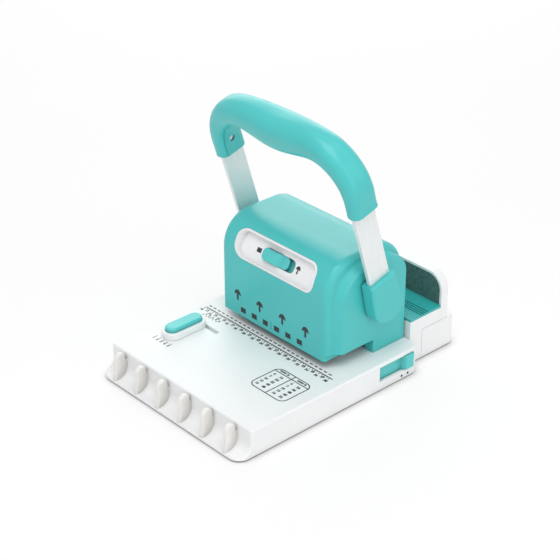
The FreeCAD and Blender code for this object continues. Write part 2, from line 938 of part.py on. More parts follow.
def make_frames():
    """Steel cheeks that stand on the table and reach forward over the throat."""
    rounding = size["frame_round"]
    outline = [
        (size["frame_leg_front"], table),
        (size["frame_back"], table),
        (size["frame_back"], size["frame_top"], rounding),
        (size["frame_front"], size["frame_top"], rounding),
        (size["frame_front"], guide_bottom),
        (size["frame_leg_front"], guide_bottom),
    ]
    bearing = circle(pivot_y, pivot_z, size["bush_radius"] + fit / 5)
    inner = size["frame_inner"]
    outer = inner + size["frame_thickness"]
    for name, low, high in (("frame_left", -outer, -inner), ("frame_right", inner, outer)):
        body = new_body(name)
        pad(body, "YZ", low, high, outline, bearing)
        keep(body, name)
    rod = crossbar(size["spacer_row"], size["spacer_height"], size["spacer_radius"], -inner, inner)
    keep(group("frame_spacer", [rod]), "frame_spacer")


def make_bushes():
    """Flanged bushes that carry the handle shaft in the frame cheeks."""
    inner = size["frame_inner"]
    outer = inner + size["frame_thickness"]
    bore = size["shaft_radius"] + size["bearing_gap"]
    bushes = []
    for side in (-1, 1):
        body = new_body("bush")
        sleeve = (inner, outer) if side > 0 else (-outer, -inner)
        flange = (inner - size["bush_flange"], inner) if side > 0 else (-inner, size["bush_flange"] - inner)
        hole = circle(pivot_y, pivot_z, bore)
        pad(body, "YZ", *sleeve, circle(pivot_y, pivot_z, size["bush_radius"]), hole)
        pad(body, "YZ", *flange, circle(pivot_y, pivot_z, size["bush_flange_radius"]), hole)
        bushes.append(body)
    keep(group("shaft_bushes", bushes), "shaft_bushes")


def make_shaft():
    """Shaft through the head that the arms turn."""
    half = size["arm_centre"] + size["arm_thickness"] / 2
    rod = crossbar(pivot_y, pivot_z, size["shaft_radius"], -half, half)
    keep(group("handle_shaft", [rod]), "handle_shaft")


def make_cams():
    """Round eccentrics that press the bar down as the handle comes forward."""
    middle_y = pivot_y - size["cam_throw"] * sine(size["cam_angle"])
    middle_z = pivot_z + size["cam_throw"] * cosine(size["cam_angle"])
    inner = size["cam_inner"]
    outer = inner + size["cam_width"]
    bore = circle(pivot_y, pivot_z, size["shaft_radius"] + fit / 5)
    cams = []
    for low, high in ((-outer, -inner), (inner, outer)):
        body = new_body("press_cam")
        pad(body, "YZ", low, high, circle(middle_y, middle_z, size["cam_radius"]), bore)
        cams.append(body)
    keep(group("press_cams", cams), "press_cams")


def make_crank():
    """Crank on the middle of the shaft whose cross pin drives the closer bar."""
    body = new_body("closer_crank")
    half = size["crank_width"] / 2
    thick = size["crank_thickness"] / 2
    reach = size["crank_throw"]
    hub = size["shaft_radius"] + half
    bore = circle(0, 0, size["shaft_radius"] + fit / 5)
    pad(body, "YZ", -thick, thick, circle(0, 0, hub), bore)
    lever = rectangle(-half, half, hub * 0.8, reach + half, half * 0.99)
    pad(body, "YZ", -thick, thick, lever)
    pin = size["crank_pin_length"] / 2
    pad(body, "YZ", -pin, pin, circle(0, reach, size["crank_pin_radius"]))
    keep(body, "closer_crank", 0, pivot_y, pivot_z, (X_AXIS, size["crank_angle"]))


def make_closer_bar():
    """Pusher in the back of the head, on two slotted arms that the crank pin moves."""
    body = new_body("closer_bar")
    back = head_back - gap
    front = back - size["closer_thickness"]
    low = size["closer_bottom"]
    high = size["closer_top"]
    half = size["closer_half_width"]
    pad(body, "XZ", front, back, rectangle(-half, half, low, high))
    slot_half = size["crank_pin_radius"] + gap + fit
    pin_y = pivot_y - size["crank_throw"] * sine(size["crank_angle"])
    arm_front = pin_y - slot_half - size["closer_slot_wall"]
    inner = size["crank_thickness"] / 2 + 2 * gap
    outer = inner + size["closer_arm_width"]
    arm = rectangle(arm_front, front, low, size["closer_arm_top"])
    pad(body, "YZ", inner, outer, arm)
    pad(body, "YZ", -outer, -inner, arm)
    slot = rectangle(
        pin_y - slot_half, pin_y + slot_half, size["closer_slot_bottom"], size["closer_slot_top"]
    )
    pocket(body, "YZ", -outer, outer, slot)
    keep(body, "closer_bar")


def ear_outline(margin):
    """Side outline of the pad round the pivot, widened by the margin."""
    arch = half_depth - size["pad_inset"] + margin
    back = head_back - size["pad_setback"]
    leg = size["leg_front"]
    return [
        (axis_y - arch, size["pad_bottom"]),
        (axis_y - arch, axis_z + arch, arch),
        (back, axis_z + arch, size["pad_round"] + margin * 1.5),
        (back, table),
        (leg, table),
        (leg, size["pad_bottom"]),
    ]


def add_ear_pads(body):
    """Raises a pad on each side of the head with a flank that flares out smoothly."""
    root = size["head_half_width"] - fit
    rise = size["pad_half_width"] - root
    flare = size["pad_flare"]
    deep = root - size["head_edge"]
    for side in (-1, 1):
        low, high = sorted((side * deep, side * root), key=lambda place: place.value)
        pad(body, "YZ", low, high, ear_outline(flare))
        sections = []
        for step in range(FLARE_STEPS + 1):
            share = step / FLARE_STEPS
            across = side * (root + rise * share * share * (3 - 2 * share))
            sections.append(add_sketch(body, "YZ", across, [ear_outline(flare * (1 - share))]))
        document.recompute()
        loft = body.newObject("PartDesign::AdditiveLoft", "ear_loft")
        loft.Profile = sections[0]
        loft.Sections = sections[1:]
        document.recompute()


def head_outline():
    """Side outline of the head with its round crown and the leg that stands on the table."""
    front = size["head_front"]
    leg = size["leg_front"]
    crown = size["crown_round"]
    return [
        (front, size["skirt_height"]),
        (front, size["head_top"], crown),
        (head_back, size["head_top"], crown),
        (head_back, table),
        (leg, table),
        (leg, size["skirt_height"]),
    ]


def make_head_cover():
    """Teal cover with a round crown and side pads round the pivot, open underneath."""
    body = new_body("head_moulding")
    half = size["head_half_width"]
    front = size["head_front"]
    leg = size["leg_front"]
    pad(body, "YZ", -half, half, head_outline())

    def rim(edge):
        across, deep, tall = spans(edge)
        on_side = across < 1e-3 and near(abs(edge.BoundBox.XMax), half)
        bent = deep > 1 and tall > 1
        level = deep > 1 and near(edge.BoundBox.ZMin, size["head_top"])
        upright_front = tall > 1 and deep < 1e-3 and near(edge.BoundBox.YMax, front)
        upright_back = tall > 1 and deep < 1e-3 and near(edge.BoundBox.YMax, head_back)
        return on_side and (bent or level or upright_front or upright_back)

    soften(body, size["head_edge"], rim)
    outer = size["pad_half_width"]
    bottom = size["pad_bottom"]
    narrow = half - size["skirt_recess"]
    band = rectangle(front, leg, size["skirt_height"], bottom)
    for low, high in ((narrow, half), (-half, -narrow)):
        pocket(body, "YZ", low, high, band)
    add_ear_pads(body)
    wall = size["head_wall"]
    ceiling = size["head_top"] - wall
    inner_round = size["crown_round"] - wall
    hollow = [
        (front + wall, 0),
        (front + wall, ceiling, inner_round),
        (head_back - wall, ceiling, inner_round),
        (head_back - wall, 0),
    ]
    pocket(body, "YZ", wall - half, half - wall, hollow)
    hole = circle(pivot_y, pivot_z, size["shaft_hole_radius"])
    pocket(body, "YZ", -outer, outer, hole)
    window_half = size["closer_half_width"] + gap
    window = rectangle(-window_half, window_half, size["closer_bottom"] - gap, size["closer_top"] + gap)
    pocket(body, "XZ", head_back - wall, head_back, window)
    opening = new_body("panel_opening")
    pad(opening, "XY", half_depth / 2, half_depth * 2, panel_outline(fit * 1.5))
    put(opening, 0, axis_y, axis_z, (X_AXIS, RIGHT_ANGLE - size["panel_tilt"]))
    keep(cut("head_cover", body, [opening]), "head_cover")


def panel_outline(margin):
    """Rounded outline of the switch panel, widened by the margin."""
    half = size["panel_length"] / 2 + margin
    tall = size["panel_width"] / 2 + margin
    return rectangle(-half, half, -tall, tall, size["panel_round"] + margin)


panel_face = half_depth - size["panel_sink"]
panel_back = panel_face - size["panel_thickness"]


def keep_on_panel(thing, label):
    """Sets a switch piece, drawn flat over the panel's axis, at the panel's tilt."""
    keep(thing, label, 0, axis_y, axis_z, (X_AXIS, RIGHT_ANGLE - size["panel_tilt"]))


def make_switch_panel():
    """White tray let into the crown, with a rim flush with it and a slot for the switch."""
    body = new_body("panel_tray")
    half = size["slot_length"] / 2
    tall = size["slot_width"] / 2
    slot = rectangle(-half, half, -tall, tall, size["slot_round"])
    pad(body, "XY", panel_back, panel_face, panel_outline(0), slot)
    rim_top = panel_face + half_depth / 2
    pad(body, "XY", panel_face, rim_top, panel_outline(0), panel_outline(-size["panel_rim_width"]))
    put(body, 0, axis_y, axis_z, (X_AXIS, RIGHT_ANGLE - size["panel_tilt"]))
    crown = new_body("panel_trim")
    pad(crown, "YZ", -size["head_half_width"], size["head_half_width"], head_outline())
    flush = document.addObject("Part::Common", "panel_flush")
    flush.Base = body
    flush.Tool = crown
    keep(flush, "switch_panel")


def make_mode_slider():
    """Teal switch with a raised end, a hidden plate behind the panel and a pin to the selector."""
    body = new_body("mode_slider")
    half = size["slot_length"] / 2
    left = gap - half
    right = half - size["switch_travel"] - gap
    middle = -size["switch_travel"] / 2
    tall = size["slot_width"] / 2 - gap
    plate_top = panel_back - gap
    plate_low = plate_top - size["switch_plate"]
    reach = half + size["switch_travel"] / 2 + size["switch_plate"]
    plate_tall = size["switch_plate_width"] / 2
    plate = rectangle(middle - reach, middle + reach, -plate_tall, plate_tall)
    pad(body, "XY", plate_low, plate_top, plate)
    crest = panel_face + size["switch_rise"]
    low = panel_face - size["switch_low"]
    crest_end = left + size["switch_button"]
    side = [
        (left, plate_low),
        (left, crest),
        (crest_end, crest),
        (crest_end + size["switch_ramp"], low),
        (right, low),
        (right, plate_low),
    ]
    pad(body, "XZ", -tall, tall, side)

    def slot_end(edge):
        across, deep, tall_span = spans(edge)
        at_end = near(edge.BoundBox.XMax, left) or near(edge.BoundBox.XMax, right)
        return at_end and across < 1e-3 and deep < 1e-3 and tall_span > 1

    soften(body, size["slot_round"] - gap, slot_end)

    def crest_edge(edge):
        return near(edge.BoundBox.ZMin, crest)

    soften(body, size["switch_edge"], crest_edge)
    pad(body, "XY", size["switch_pin_end"], plate_low, circle(middle, 0, size["switch_pin_radius"]))
    keep_on_panel(body, "mode_slider")


arm_inner = size["arm_centre"] - size["arm_thickness"] / 2
arm_outer = size["arm_centre"] + size["arm_thickness"] / 2
grip_screw_spot = (0, size["arm_length"] - size["grip_screw_inset"])
leg_end = size["arm_length"] - size["leg_overlap"]
bow_start = size["arm_length"] - size["bow_inset"]
cheek_top = size["arm_length"] + size["cheek_rise"]


def keep_on_handle(thing, label):
    """Sets a handle piece, drawn upright over its pivot, at the handle's lean."""
    keep(thing, label, 0, pivot_y, pivot_z, (X_AXIS, size["handle_lean"]))


def both_sides(inner, outer):
    """The same span along X on the left and on the right."""
    return (("left", -outer, -inner), ("right", inner, outer))


def make_arms():
    """Flat steel arms from the shaft ends up into the grip."""
    half = size["arm_width"] / 2
    end = half * 0.99
    outline = [
        (-half, -half, end),
        (half, -half, end),
        (half, size["arm_length"]),
        (-half, size["arm_length"]),
    ]
    bore = circle(0, 0, size["shaft_radius"] + fit / 5)
    hole = circle(*grip_screw_spot, size["grip_screw_radius"] + fit)
    for side, low, high in both_sides(arm_inner, arm_outer):
        body = new_body(f"arm_{side}")
        pad(body, "YZ", low, high, outline, bore, hole)
        keep_on_handle(body, f"arm_{side}")


def make_boots():
    """Rounded teal caps over the lower ends of the arms."""
    wide = size["boot_half_width"]
    narrow = size["boot_top_half_width"]
    drop = -size["boot_drop"]
    outline = [
        (-wide, drop, 0, wide),
        (0, drop - wide, 0, wide),
        (wide, drop),
        (narrow, size["boot_top"]),
        (-narrow, size["boot_top"]),
    ]
    half = size["arm_width"] / 2 + fit
    channel = [
        (-half, -half, half * 0.95),
        (half, -half, half * 0.95),
        (half, size["boot_top"] * 2),
        (-half, size["boot_top"] * 2),
    ]
    inner = size["boot_inner"]
    outer = size["boot_outer"]
    for side, low, high in both_sides(inner, outer):
        face = low if side == "left" else high
        body = new_body(f"boot_{side}")
        pad(body, "YZ", low, high, outline)

        def cap_rim(edge):
            across = spans(edge)[0]
            return across < 1e-3 and near(edge.BoundBox.XMax, face)

        soften(body, size["boot_edge"], cap_rim)
        slit = (arm_inner - fit, arm_outer + fit)
        bore = (inner, arm_outer + fit)
        if side == "left":
            slit = (-slit[1], -slit[0])
            bore = (-bore[1], -bore[0])
        pocket(body, "YZ", *slit, channel)
        pocket(body, "YZ", *bore, circle(0, 0, size["shaft_radius"] + fit))
        keep_on_handle(body, f"boot_{side}")


def grip_sections():
    """Places and sizes of the grip's cross sections from the left leg to the right leg.

    Each is (x, height, turn about Y, width in the bow's plane, depth fore and aft, corner radius).
    """
    leg_x = size["arm_centre"] + size["leg_offset"]
    bend_x = leg_x - size["bow_radius"]
    crown = bow_start + size["bow_radius"]
    leg = (size["leg_width"], size["leg_depth"], size["leg_round"])
    left = [(-leg_x, leg_end, 0, *leg)]
    for step in range(BOW_STEPS + 1):
        share = step / BOW_STEPS
        turn = RIGHT_ANGLE * share
        across = bend_x + size["bow_radius"] * cosine(as_size(turn))
        height = bow_start + size["bow_radius"] * sine(as_size(turn))
        width = size["leg_width"] + share * (size["bar_end_width"] - size["leg_width"])
        rounding = size["leg_round"] + share * (size["bar_end_round"] - size["leg_round"])
        left.append((-across, height, turn, width, size["leg_depth"], rounding))
    right = [(-x, height, 2 * RIGHT_ANGLE - turn, *shape) for x, height, turn, *shape in reversed(left)]
    middle = (size["grip_width"], size["grip_depth"], size["grip_round"])
    return [*left, (0, crown - size["grip_drop"], RIGHT_ANGLE, *middle), *right]


def make_grip_blank():
    """The whole grip as one loft along its bow."""
    body = new_body("grip_blank")
    sketches = []
    for x, height, turn, width, depth, rounding in grip_sections():
        outline = rectangle(-width / 2, width / 2, -depth / 2, depth / 2, rounding)
        sketch = add_sketch(body, "XY", height, [outline])
        turned = FreeCAD.Rotation(Y_AXIS, turn)
        sketch.AttachmentOffset = FreeCAD.Placement(FreeCAD.Vector(), turned)
        sketch.setExpression("AttachmentOffset.Base.x", as_size(x).formula)
        sketch.setExpression("AttachmentOffset.Base.z", as_size(height).formula)
        sketches.append(sketch)
    document.recompute()
    loft = body.newObject("PartDesign::AdditiveLoft", "grip_loft")
    loft.Profile = sketches[0]
    loft.Sections = sketches[1:]
    document.recompute()
    return body


def make_grip():
    """Grip shell on the arms, its two inner cheeks and their screws."""
    blank = make_grip_blank()
    seam = arm_inner - fit
    reach = size["leg_depth"]
    half = size["arm_width"] / 2 + fit
    floor = leg_end / 2
    y, z = grip_screw_spot
    screw_end = arm_outer + size["leg_width"] / 4
    head_seat = seam - size["grip_screw_radius"]
    tools = []
    screws = []
    for side in (-1, 1):
        ends = sorted((side * seam, side * (seam - size["leg_width"])), key=lambda place: place.value)
        cheek_space = block(*ends, -size["cheek_front"], reach, floor, cheek_top)
        cheek_stock = block(*ends, gap - size["cheek_front"], reach, floor, cheek_top - gap)
        blank_part = document.addObject("Part::Common", "cheek_blank")
        blank_part.Base = blank
        blank_part.Tool = cheek_stock
        head_span = sorted((side * head_seat, side * head_seat / 2), key=lambda place: place.value)
        sink = crossbar(y, z, size["grip_screw_head"] + fit, *head_span)
        through = sorted((side * head_seat / 2, side * screw_end), key=lambda place: place.value)
        drill = crossbar(y, z, size["grip_screw_radius"] + fit, *through)
        name = "grip_cheek_left" if side < 0 else "grip_cheek_right"
        keep_on_handle(cut(name, blank_part, [sink, drill]), name)
        slit = sorted((side * seam, side * (arm_outer + fit)), key=lambda place: place.value)
        channel = block(*slit, -half, half, floor, size["arm_length"] + fit)
        tools += [cheek_space, channel, drill]
        head_low = head_seat - size["grip_screw_radius"]
        head = sorted((side * head_low, side * head_seat), key=lambda place: place.value)
        shank = sorted((side * head_low, side * screw_end), key=lambda place: place.value)
        head_bar = crossbar(y, z, size["grip_screw_head"], *head)
        shank_bar = crossbar(y, z, size["grip_screw_radius"], *shank)
        screws.append(fuse("grip_screw", [head_bar, shank_bar]))
    keep_on_handle(cut("grip_shell", blank, tools), "grip_shell")
    keep_on_handle(group("grip_screws", screws), "grip_screws")


def make_edge_guide():
    """Sliding paper guide, its tongue and the shutter under its slot, and the button in its rim."""
    left = size["fence_inset"] - base_half
    right = left + size["fence_width"]
    front = size["fence_front"]
    back = front + size["fence_length"]
    low = table + gap
    high = table + size["fence_height"]
    rounding = size["fence_width"] / 2 * 0.99
    body = new_body("guide_fence")
    pad(body, "XY", low, high, rectangle(left, right, front, back, rounding))

    def top_edge(edge):
        return spans(edge)[2] < 1e-3 and near(edge.BoundBox.ZMax, high)

    soften(body, size["fence_edge"], top_edge)
    rim = size["fence_rim"]
    well = rectangle(left + rim, right - rim, front + rim, back - rim, rounding - rim)
    floor = low + size["fence_floor"]
    pocket(body, "XY", floor, high, well)
    middle = (left + right) / 2
    long = size["tongue_length"] / 2
    slot_row = size["fence_slot_row"]
    wide = size["fence_slot_width"] / 2 - gap
    flange_top = table_underside - gap
    flange_low = flange_top - size["tongue_flange_thickness"]
    neck = rectangle(middle - long, middle + long, slot_row - wide, slot_row + wide)
    pad(body, "XY", flange_top, low, neck)
    reach = size["tongue_flange"] / 2
    shutter = fence_slot_right + (middle - long - fence_slot_left)
    flange = rectangle(middle - long, shutter, slot_row - reach, slot_row + reach)
    pad(body, "XY", flange_low, flange_top, flange)
    keep(body, "guide_fence")
    button = new_body("guide_button")
    inset = rim + gap
    outline = rectangle(left + inset, right - inset, front + inset, back - inset, rounding - inset)
    crest = high + size["button_rise"]
    pad(button, "XY", floor + size["button_travel"] + gap, crest, outline)

    def crest_edge(edge):
        return spans(edge)[2] < 1e-3 and near(edge.BoundBox.ZMax, crest)

    soften(button, size["button_edge"], crest_edge)
    keep(button, "guide_button")


def make_depth_slider():
    """Teal slider in the right wall and the stop bar that it carries under the die."""
    body = new_body("depth_slider")
    outer = cavity_half - gap
    inner = outer - size["slider_thickness"]
    low = size["window_bottom"] - size["slider_overlap"]
    high = table_underside - gap
    pad(body, "YZ", inner, outer, rectangle(size["slider_front"], size["slider_back"], low, high))
    tab_back = size["window_back"] - gap
    tab_front = tab_back - size["tab_length"]
    face = base_half + size["tab_rise"]
    tab = [
        (inner, tab_back),
        (inner, tab_front - size["tab_ramp"]),
        (outer, tab_front - size["tab_ramp"]),
        (face, tab_front),
        (face, tab_back),
    ]
    pad(body, "XY", size["window_bottom"] + gap, size["window_top"] - gap, tab)

    def tab_edge(edge):
        return near(edge.BoundBox.XMin, face)

    soften(body, size["tab_edge"], tab_edge)
    keep(body, "depth_slider")
    bar_front = size["stop_row"] - size["stop_bar_depth"] / 2
    bar_high = die_bottom - gap
    bar_low = bar_high - size["stop_bar_height"]
    bar = block(
        -size["stop_bar_left"], inner, bar_front, bar_front + size["stop_bar_depth"], bar_low, bar_high
    )
    top = table + size["stop_rise"]
    pins = [upright(x, size["stop_row"], size["stop_radius"], bar_low, top) for x in stop_spots]
    keep(fuse("depth_stop", [bar, *pins]), "depth_stop")


def make_rear_unit():
    """White housing behind the base, ribbed platform, rear wall and its pad."""
    half = size["rear_half_width"]
    start = size["base_depth"]
    seam = size["seam_row"]
    deck = size["rear_deck"]
    platform_low = size["platform_height"] - size["platform_thickness"]
    wall_front = size["wall_front"]
    wall_back = wall_front + size["wall_thickness"]
    housing = new_body("rear_housing")
    side = [
        (start, base_bottom),
        (seam, base_bottom),
        (seam, deck),
        (wall_front, deck),
        (wall_front, platform_low),
        (start, platform_low),
    ]
    pad(housing, "YZ", -half, half, side)
    tunnel_half = size["drawer_half_width"] + gap
    tunnel = rectangle(-tunnel_half, tunnel_half, base_bottom, size["drawer_tray_top"] + gap)
    pocket(housing, "XZ", start, seam, tunnel)
    keep(housing, "rear_housing")

    platform = new_body("closer_platform")
    top = size["platform_height"]
    pad(platform, "XY", platform_low, top, rectangle(-half, half, start, wall_front))
    middles = [size["groove_row"] + i * size["groove_pitch"] for i in range(GROOVES)]
    groove = size["groove_width"] / 2
    lines = [rectangle(-half, half, middle - groove, middle + groove) for middle in middles]
    pocket(platform, "XY", top - size["groove_depth"], top, *lines)
    keep(platform, "closer_platform")

    wall = new_body("closer_wall")
    crown = size["wall_round"]
    face = [(-half, deck), (half, deck), (half, size["wall_top"], crown), (-half, size["wall_top"], crown)]
    pad(wall, "XZ", wall_front, wall_back, face)

    def outer_rim(edge):
        on_back = spans(edge)[1] < 1e-3 and near(edge.BoundBox.YMax, wall_back)
        return on_back and not near(edge.BoundBox.ZMax, deck)

    soften(wall, size["wall_edge"], outer_rim)
    inset = size["foam_inset"]
    pad_high = size["wall_top"] - inset
    pad_face = [
        (inset - half, top),
        (half - inset, top),
        (half - inset, pad_high, crown - inset),
        (inset - half, pad_high, crown - inset),
    ]
    pocket(wall, "XZ", wall_front, wall_front + size["foam_thickness"], pad_face)
    keep(wall, "closer_wall")

    backing = new_body("closer_pad")
    pad(backing, "XZ", wall_front, wall_front + size["foam_thickness"], pad_face)
    keep(backing, "closer_pad")


def make_chip_drawer():
    """Open tray under the die, with the rear box as its front and a finger pull."""
    body = new_body("chip_drawer")
    half = size["rear_half_width"]
    tray = size["drawer_half_width"]
    front = size["seam_row"] + size["seam_gap"]
    back = size["overall_depth"]
    low = plate_top + gap
    corner = size["drawer_corner"]
    box = [(-half, front), (half, front), (half, back, corner), (-half, back, corner)]
    top = size["rear_deck"] - size["seam_gap"]
    pad(body, "XY", base_bottom, top, box)
    outline = rectangle(-tray, tray, size["drawer_front"], front)
    pad(body, "XY", low, size["drawer_tray_top"], outline)
    wall = size["drawer_wall"]
    floor = low + size["drawer_floor"]
    inner = rectangle(wall - tray, tray - wall, size["drawer_front"] + wall, front)
    pocket(body, "XY", floor, size["drawer_tray_top"], inner)
    deep = rectangle(wall - tray, tray - wall, floor, top - wall)
    pocket(body, "XZ", front, back - 2 * wall, deep)
    pull = size["pull_half_width"]
    pull_round = (size["pull_top"] - size["pull_bottom"]) * 0.45
    handhold = rectangle(-pull, pull, size["pull_bottom"], size["pull_top"], pull_round)
    pocket(body, "XZ", back - size["pull_depth"], back, handhold)
    keep(body, "chip_drawer")


MAKERS = (
    make_base_shell,
    make_base_plate,
    make_feet_and_screws,
    make_prongs,
    make_die_plate,
    make_punch_guide,
    make_punches,
    make_punch_bar,
    make_guide_pins,
    make_selector,
    make_springs,
    make_frames,
    make_bushes,
    make_shaft,
    make_cams,
    make_crank,
    make_closer_bar,
    make_head_cover,
    make_switch_panel,
    make_mode_slider,
    make_arms,
    make_boots,
    make_grip,
    make_edge_guide,
    make_depth_slider,
    make_rear_unit,
    make_chip_drawer,
)


def check_pieces():
    """Stops if any object failed or any piece has no sound solid."""
    for thing in document.Objects:
        if "Invalid" in thing.State or "Error" in thing.State:
            raise RuntimeError(f"{thing.Name} failed: {thing.State}")
    for piece in pieces:
        shape = piece.Shape
        if shape.isNull() or not shape.isValid() or not shape.Solids:
            raise RuntimeError(f"{piece.Label} has no sound solid")


for make in MAKERS:
    make()
document.recompute()
check_pieces()
os.makedirs("parts", exist_ok=True)
for piece in pieces:
    piece.Shape.exportStep(f"parts/{piece.Label}.step")
    print(piece.Label, len(piece.Shape.Solids), round(piece.Shape.Volume, 1))
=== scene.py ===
"""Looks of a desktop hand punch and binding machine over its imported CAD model.

Lengths are in metres in the CAD frame: X across the machine, Y from the loading
prongs at the front to the chip drawer at the back, Z up from the desk.
"""

from __future__ import annotations

import logging
import math
from abc import ABC, abstractmethod
from collections.abc import Iterable
from dataclasses import dataclass
from enum import Enum

import bmesh
import bpy
from mathutils import Matrix, Vector


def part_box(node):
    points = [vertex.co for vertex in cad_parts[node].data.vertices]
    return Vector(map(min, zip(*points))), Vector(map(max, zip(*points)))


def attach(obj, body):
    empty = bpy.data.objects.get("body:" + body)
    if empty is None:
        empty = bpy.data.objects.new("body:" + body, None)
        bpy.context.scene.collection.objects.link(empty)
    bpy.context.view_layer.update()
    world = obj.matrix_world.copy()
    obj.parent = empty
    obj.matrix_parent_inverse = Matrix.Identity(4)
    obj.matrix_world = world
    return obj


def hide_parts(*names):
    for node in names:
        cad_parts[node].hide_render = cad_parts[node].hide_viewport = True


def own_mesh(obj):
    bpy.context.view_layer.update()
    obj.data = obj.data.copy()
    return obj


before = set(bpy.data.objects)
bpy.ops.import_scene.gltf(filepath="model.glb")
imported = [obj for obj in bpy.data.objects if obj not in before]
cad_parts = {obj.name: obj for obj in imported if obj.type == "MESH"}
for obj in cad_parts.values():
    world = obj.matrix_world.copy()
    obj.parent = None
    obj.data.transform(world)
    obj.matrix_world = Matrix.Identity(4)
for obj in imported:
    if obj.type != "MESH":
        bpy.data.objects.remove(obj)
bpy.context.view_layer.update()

log = logging.getLogger("binder")

Pair = tuple[float, float]
Triple = tuple[float, float, float]
Sides = tuple[float, float, float, float]
Colour = tuple[float, float, float, float]
Socket = bpy.types.NodeSocket


class Body(Enum):
    """The bodies that new pieces move with."""

    BASE = "base"


class NodeSheet:
    """Node tree of one material, built outwards from its shader."""

    tint_stops: Pair = (0.3, 0.7)
    pattern_range: Pair = (0.25, 0.75)
    # Rays used to find creases for the painted shade.
    crease_samples: int = 8
    edge_samples: int = 6

    def __init__(self, name: str) -> None:
        """Starts a material with a plain surface shader.

        Args:
            name: The material's name.
        """
        self.material = bpy.data.materials.new(name)
        self.material.use_nodes = True
        self.tree = self.material.node_tree
        self.shader = self.tree.nodes["Principled BSDF"]

    def add(self, kind: str, **settings: object) -> bpy.types.Node:
        """Adds a node.

        Args:
            kind: Blender's name of the node type.
            settings: Properties to set on the node.

        Returns:
            The new node.
        """
        node = self.tree.nodes.new(kind)
        for name, value in settings.items():
            setattr(node, name, value)
        return node

    def join(self, source: Socket, target: Socket) -> None:
        """Links two sockets."""
        self.tree.links.new(source, target)

    def tune(self, name: str, value: float) -> None:
        """Sets one input of the shader."""
        self.shader.inputs[name].default_value = value

    def place(self, turn: float = 0.0, stretch: Triple = (1, 1, 1)) -> Socket:
        """Object coordinates, turned about X and stretched.

        Args:
            turn: Angle about X in radians.
            stretch: Factor on each axis after the turn.

        Returns:
            The vector socket.
        """
        spot = self.add("ShaderNodeTexCoord").outputs["Object"]
        turned = self.add("ShaderNodeMapping")
        turned.inputs["Rotation"].default_value = (turn, 0, 0)
        self.join(spot, turned.inputs["Vector"])
        scaled = self.add("ShaderNodeMapping")
        scaled.inputs["Scale"].default_value = stretch
        self.join(turned.outputs["Vector"], scaled.inputs["Vector"])
        return scaled.outputs["Vector"]

    def noise(self, spot: Socket, scale: float, detail: float = 2.0) -> Socket:
        """Cloudy pattern.

        Args:
            spot: The coordinates to read.
            scale: Patches per metre.
            detail: Number of finer layers.

        Returns:
            The factor socket.
        """
        node = self.add("ShaderNodeTexNoise")
        node.inputs["Scale"].default_value = scale
        node.inputs["Detail"].default_value = detail
        self.join(spot, node.inputs["Vector"])
        return node.outputs["Fac"]

    def shade(self, source: Socket, dark: Colour, light: Colour) -> None:
        """Colours the surface between two tints.

        Args:
            source: The pattern that picks the tint.
            dark: Tint where the pattern is low.
            light: Tint where the pattern is high.
        """
        ramp = self.add("ShaderNodeValToRGB")
        for index, tint in enumerate((dark, light)):
            ramp.color_ramp.elements[index].position = self.tint_stops[index]
            ramp.color_ramp.elements[index].color = tint
        self.join(source, ramp.inputs["Fac"])
        self.join(ramp.outputs["Color"], self.shader.inputs["Base Color"])

    def deepen(self, reach: float, depth: float) -> None:
        """Paints shade into the colour in creases, darker where ambient occlusion finds other
        faces near.

        Args:
            reach: How far away another face still counts as near, in metres.
            depth: Share of the colour lost to painted shade in the closest corner.
        """
        colour = self.shader.inputs["Base Color"].links[0].from_socket
        near = self.add("ShaderNodeAmbientOcclusion", samples=self.crease_samples)
        near.inputs["Distance"].default_value = reach
        self.join(colour, near.inputs["Color"])
        mix = self.add("ShaderNodeMixRGB")
        mix.inputs["Fac"].default_value = depth
        self.join(colour, mix.inputs["Color1"])
        self.join(near.outputs["Color"], mix.inputs["Color2"])
        self.join(mix.outputs["Color"], self.shader.inputs["Base Color"])

    def roughen(self, source: Socket, low: float, high: float) -> None:
        """Varies the roughness.

        Args:
            source: The pattern that sets it.
            low: Roughness at the smoothest.
            high: Roughness at the dullest.
        """
        span = self.add("ShaderNodeMapRange")
        ends = ("From Min", "From Max", "To Min", "To Max")
        for end, value in zip(ends, (*self.pattern_range, low, high)):
            span.inputs[end].default_value = value
        self.join(source, span.inputs["Value"])
        self.join(span.outputs["Result"], self.shader.inputs["Roughness"])

    def emboss(self, source: Socket, height: float, strength: float, edge: float) -> None:
        """Raises a relief from a pattern on a surface with softened edges.

        Args:
            source: The pattern of heights.
            height: Depth of the relief in metres.
            strength: Share of the relief that shows.
            edge: Radius that edges seem to have.
        """
        soft = self.add("ShaderNodeBevel", samples=self.edge_samples)
        soft.inputs["Radius"].default_value = edge
        bump = self.add("ShaderNodeBump")
        self.join(soft.outputs["Normal"], bump.inputs["Normal"])
        bump.inputs["Distance"].default_value = height
        bump.inputs["Strength"].default_value = strength
        self.join(source, bump.inputs["Height"])
        self.join(bump.outputs["Normal"], self.shader.inputs["Normal"])


def tinted(colour: Colour, factor: float) -> Colour:
    """A colour made lighter or darker by a factor."""
    return (*(min(1.0, part * factor) for part in colour[:3]), colour[3])


def tilted(spot: Triple | Vector, turn: float) -> Matrix:
    """A place moved to a spot and turned about X by an angle in radians."""
    return Matrix.Translation(spot) @ Matrix.Rotation(turn, 4, "X")


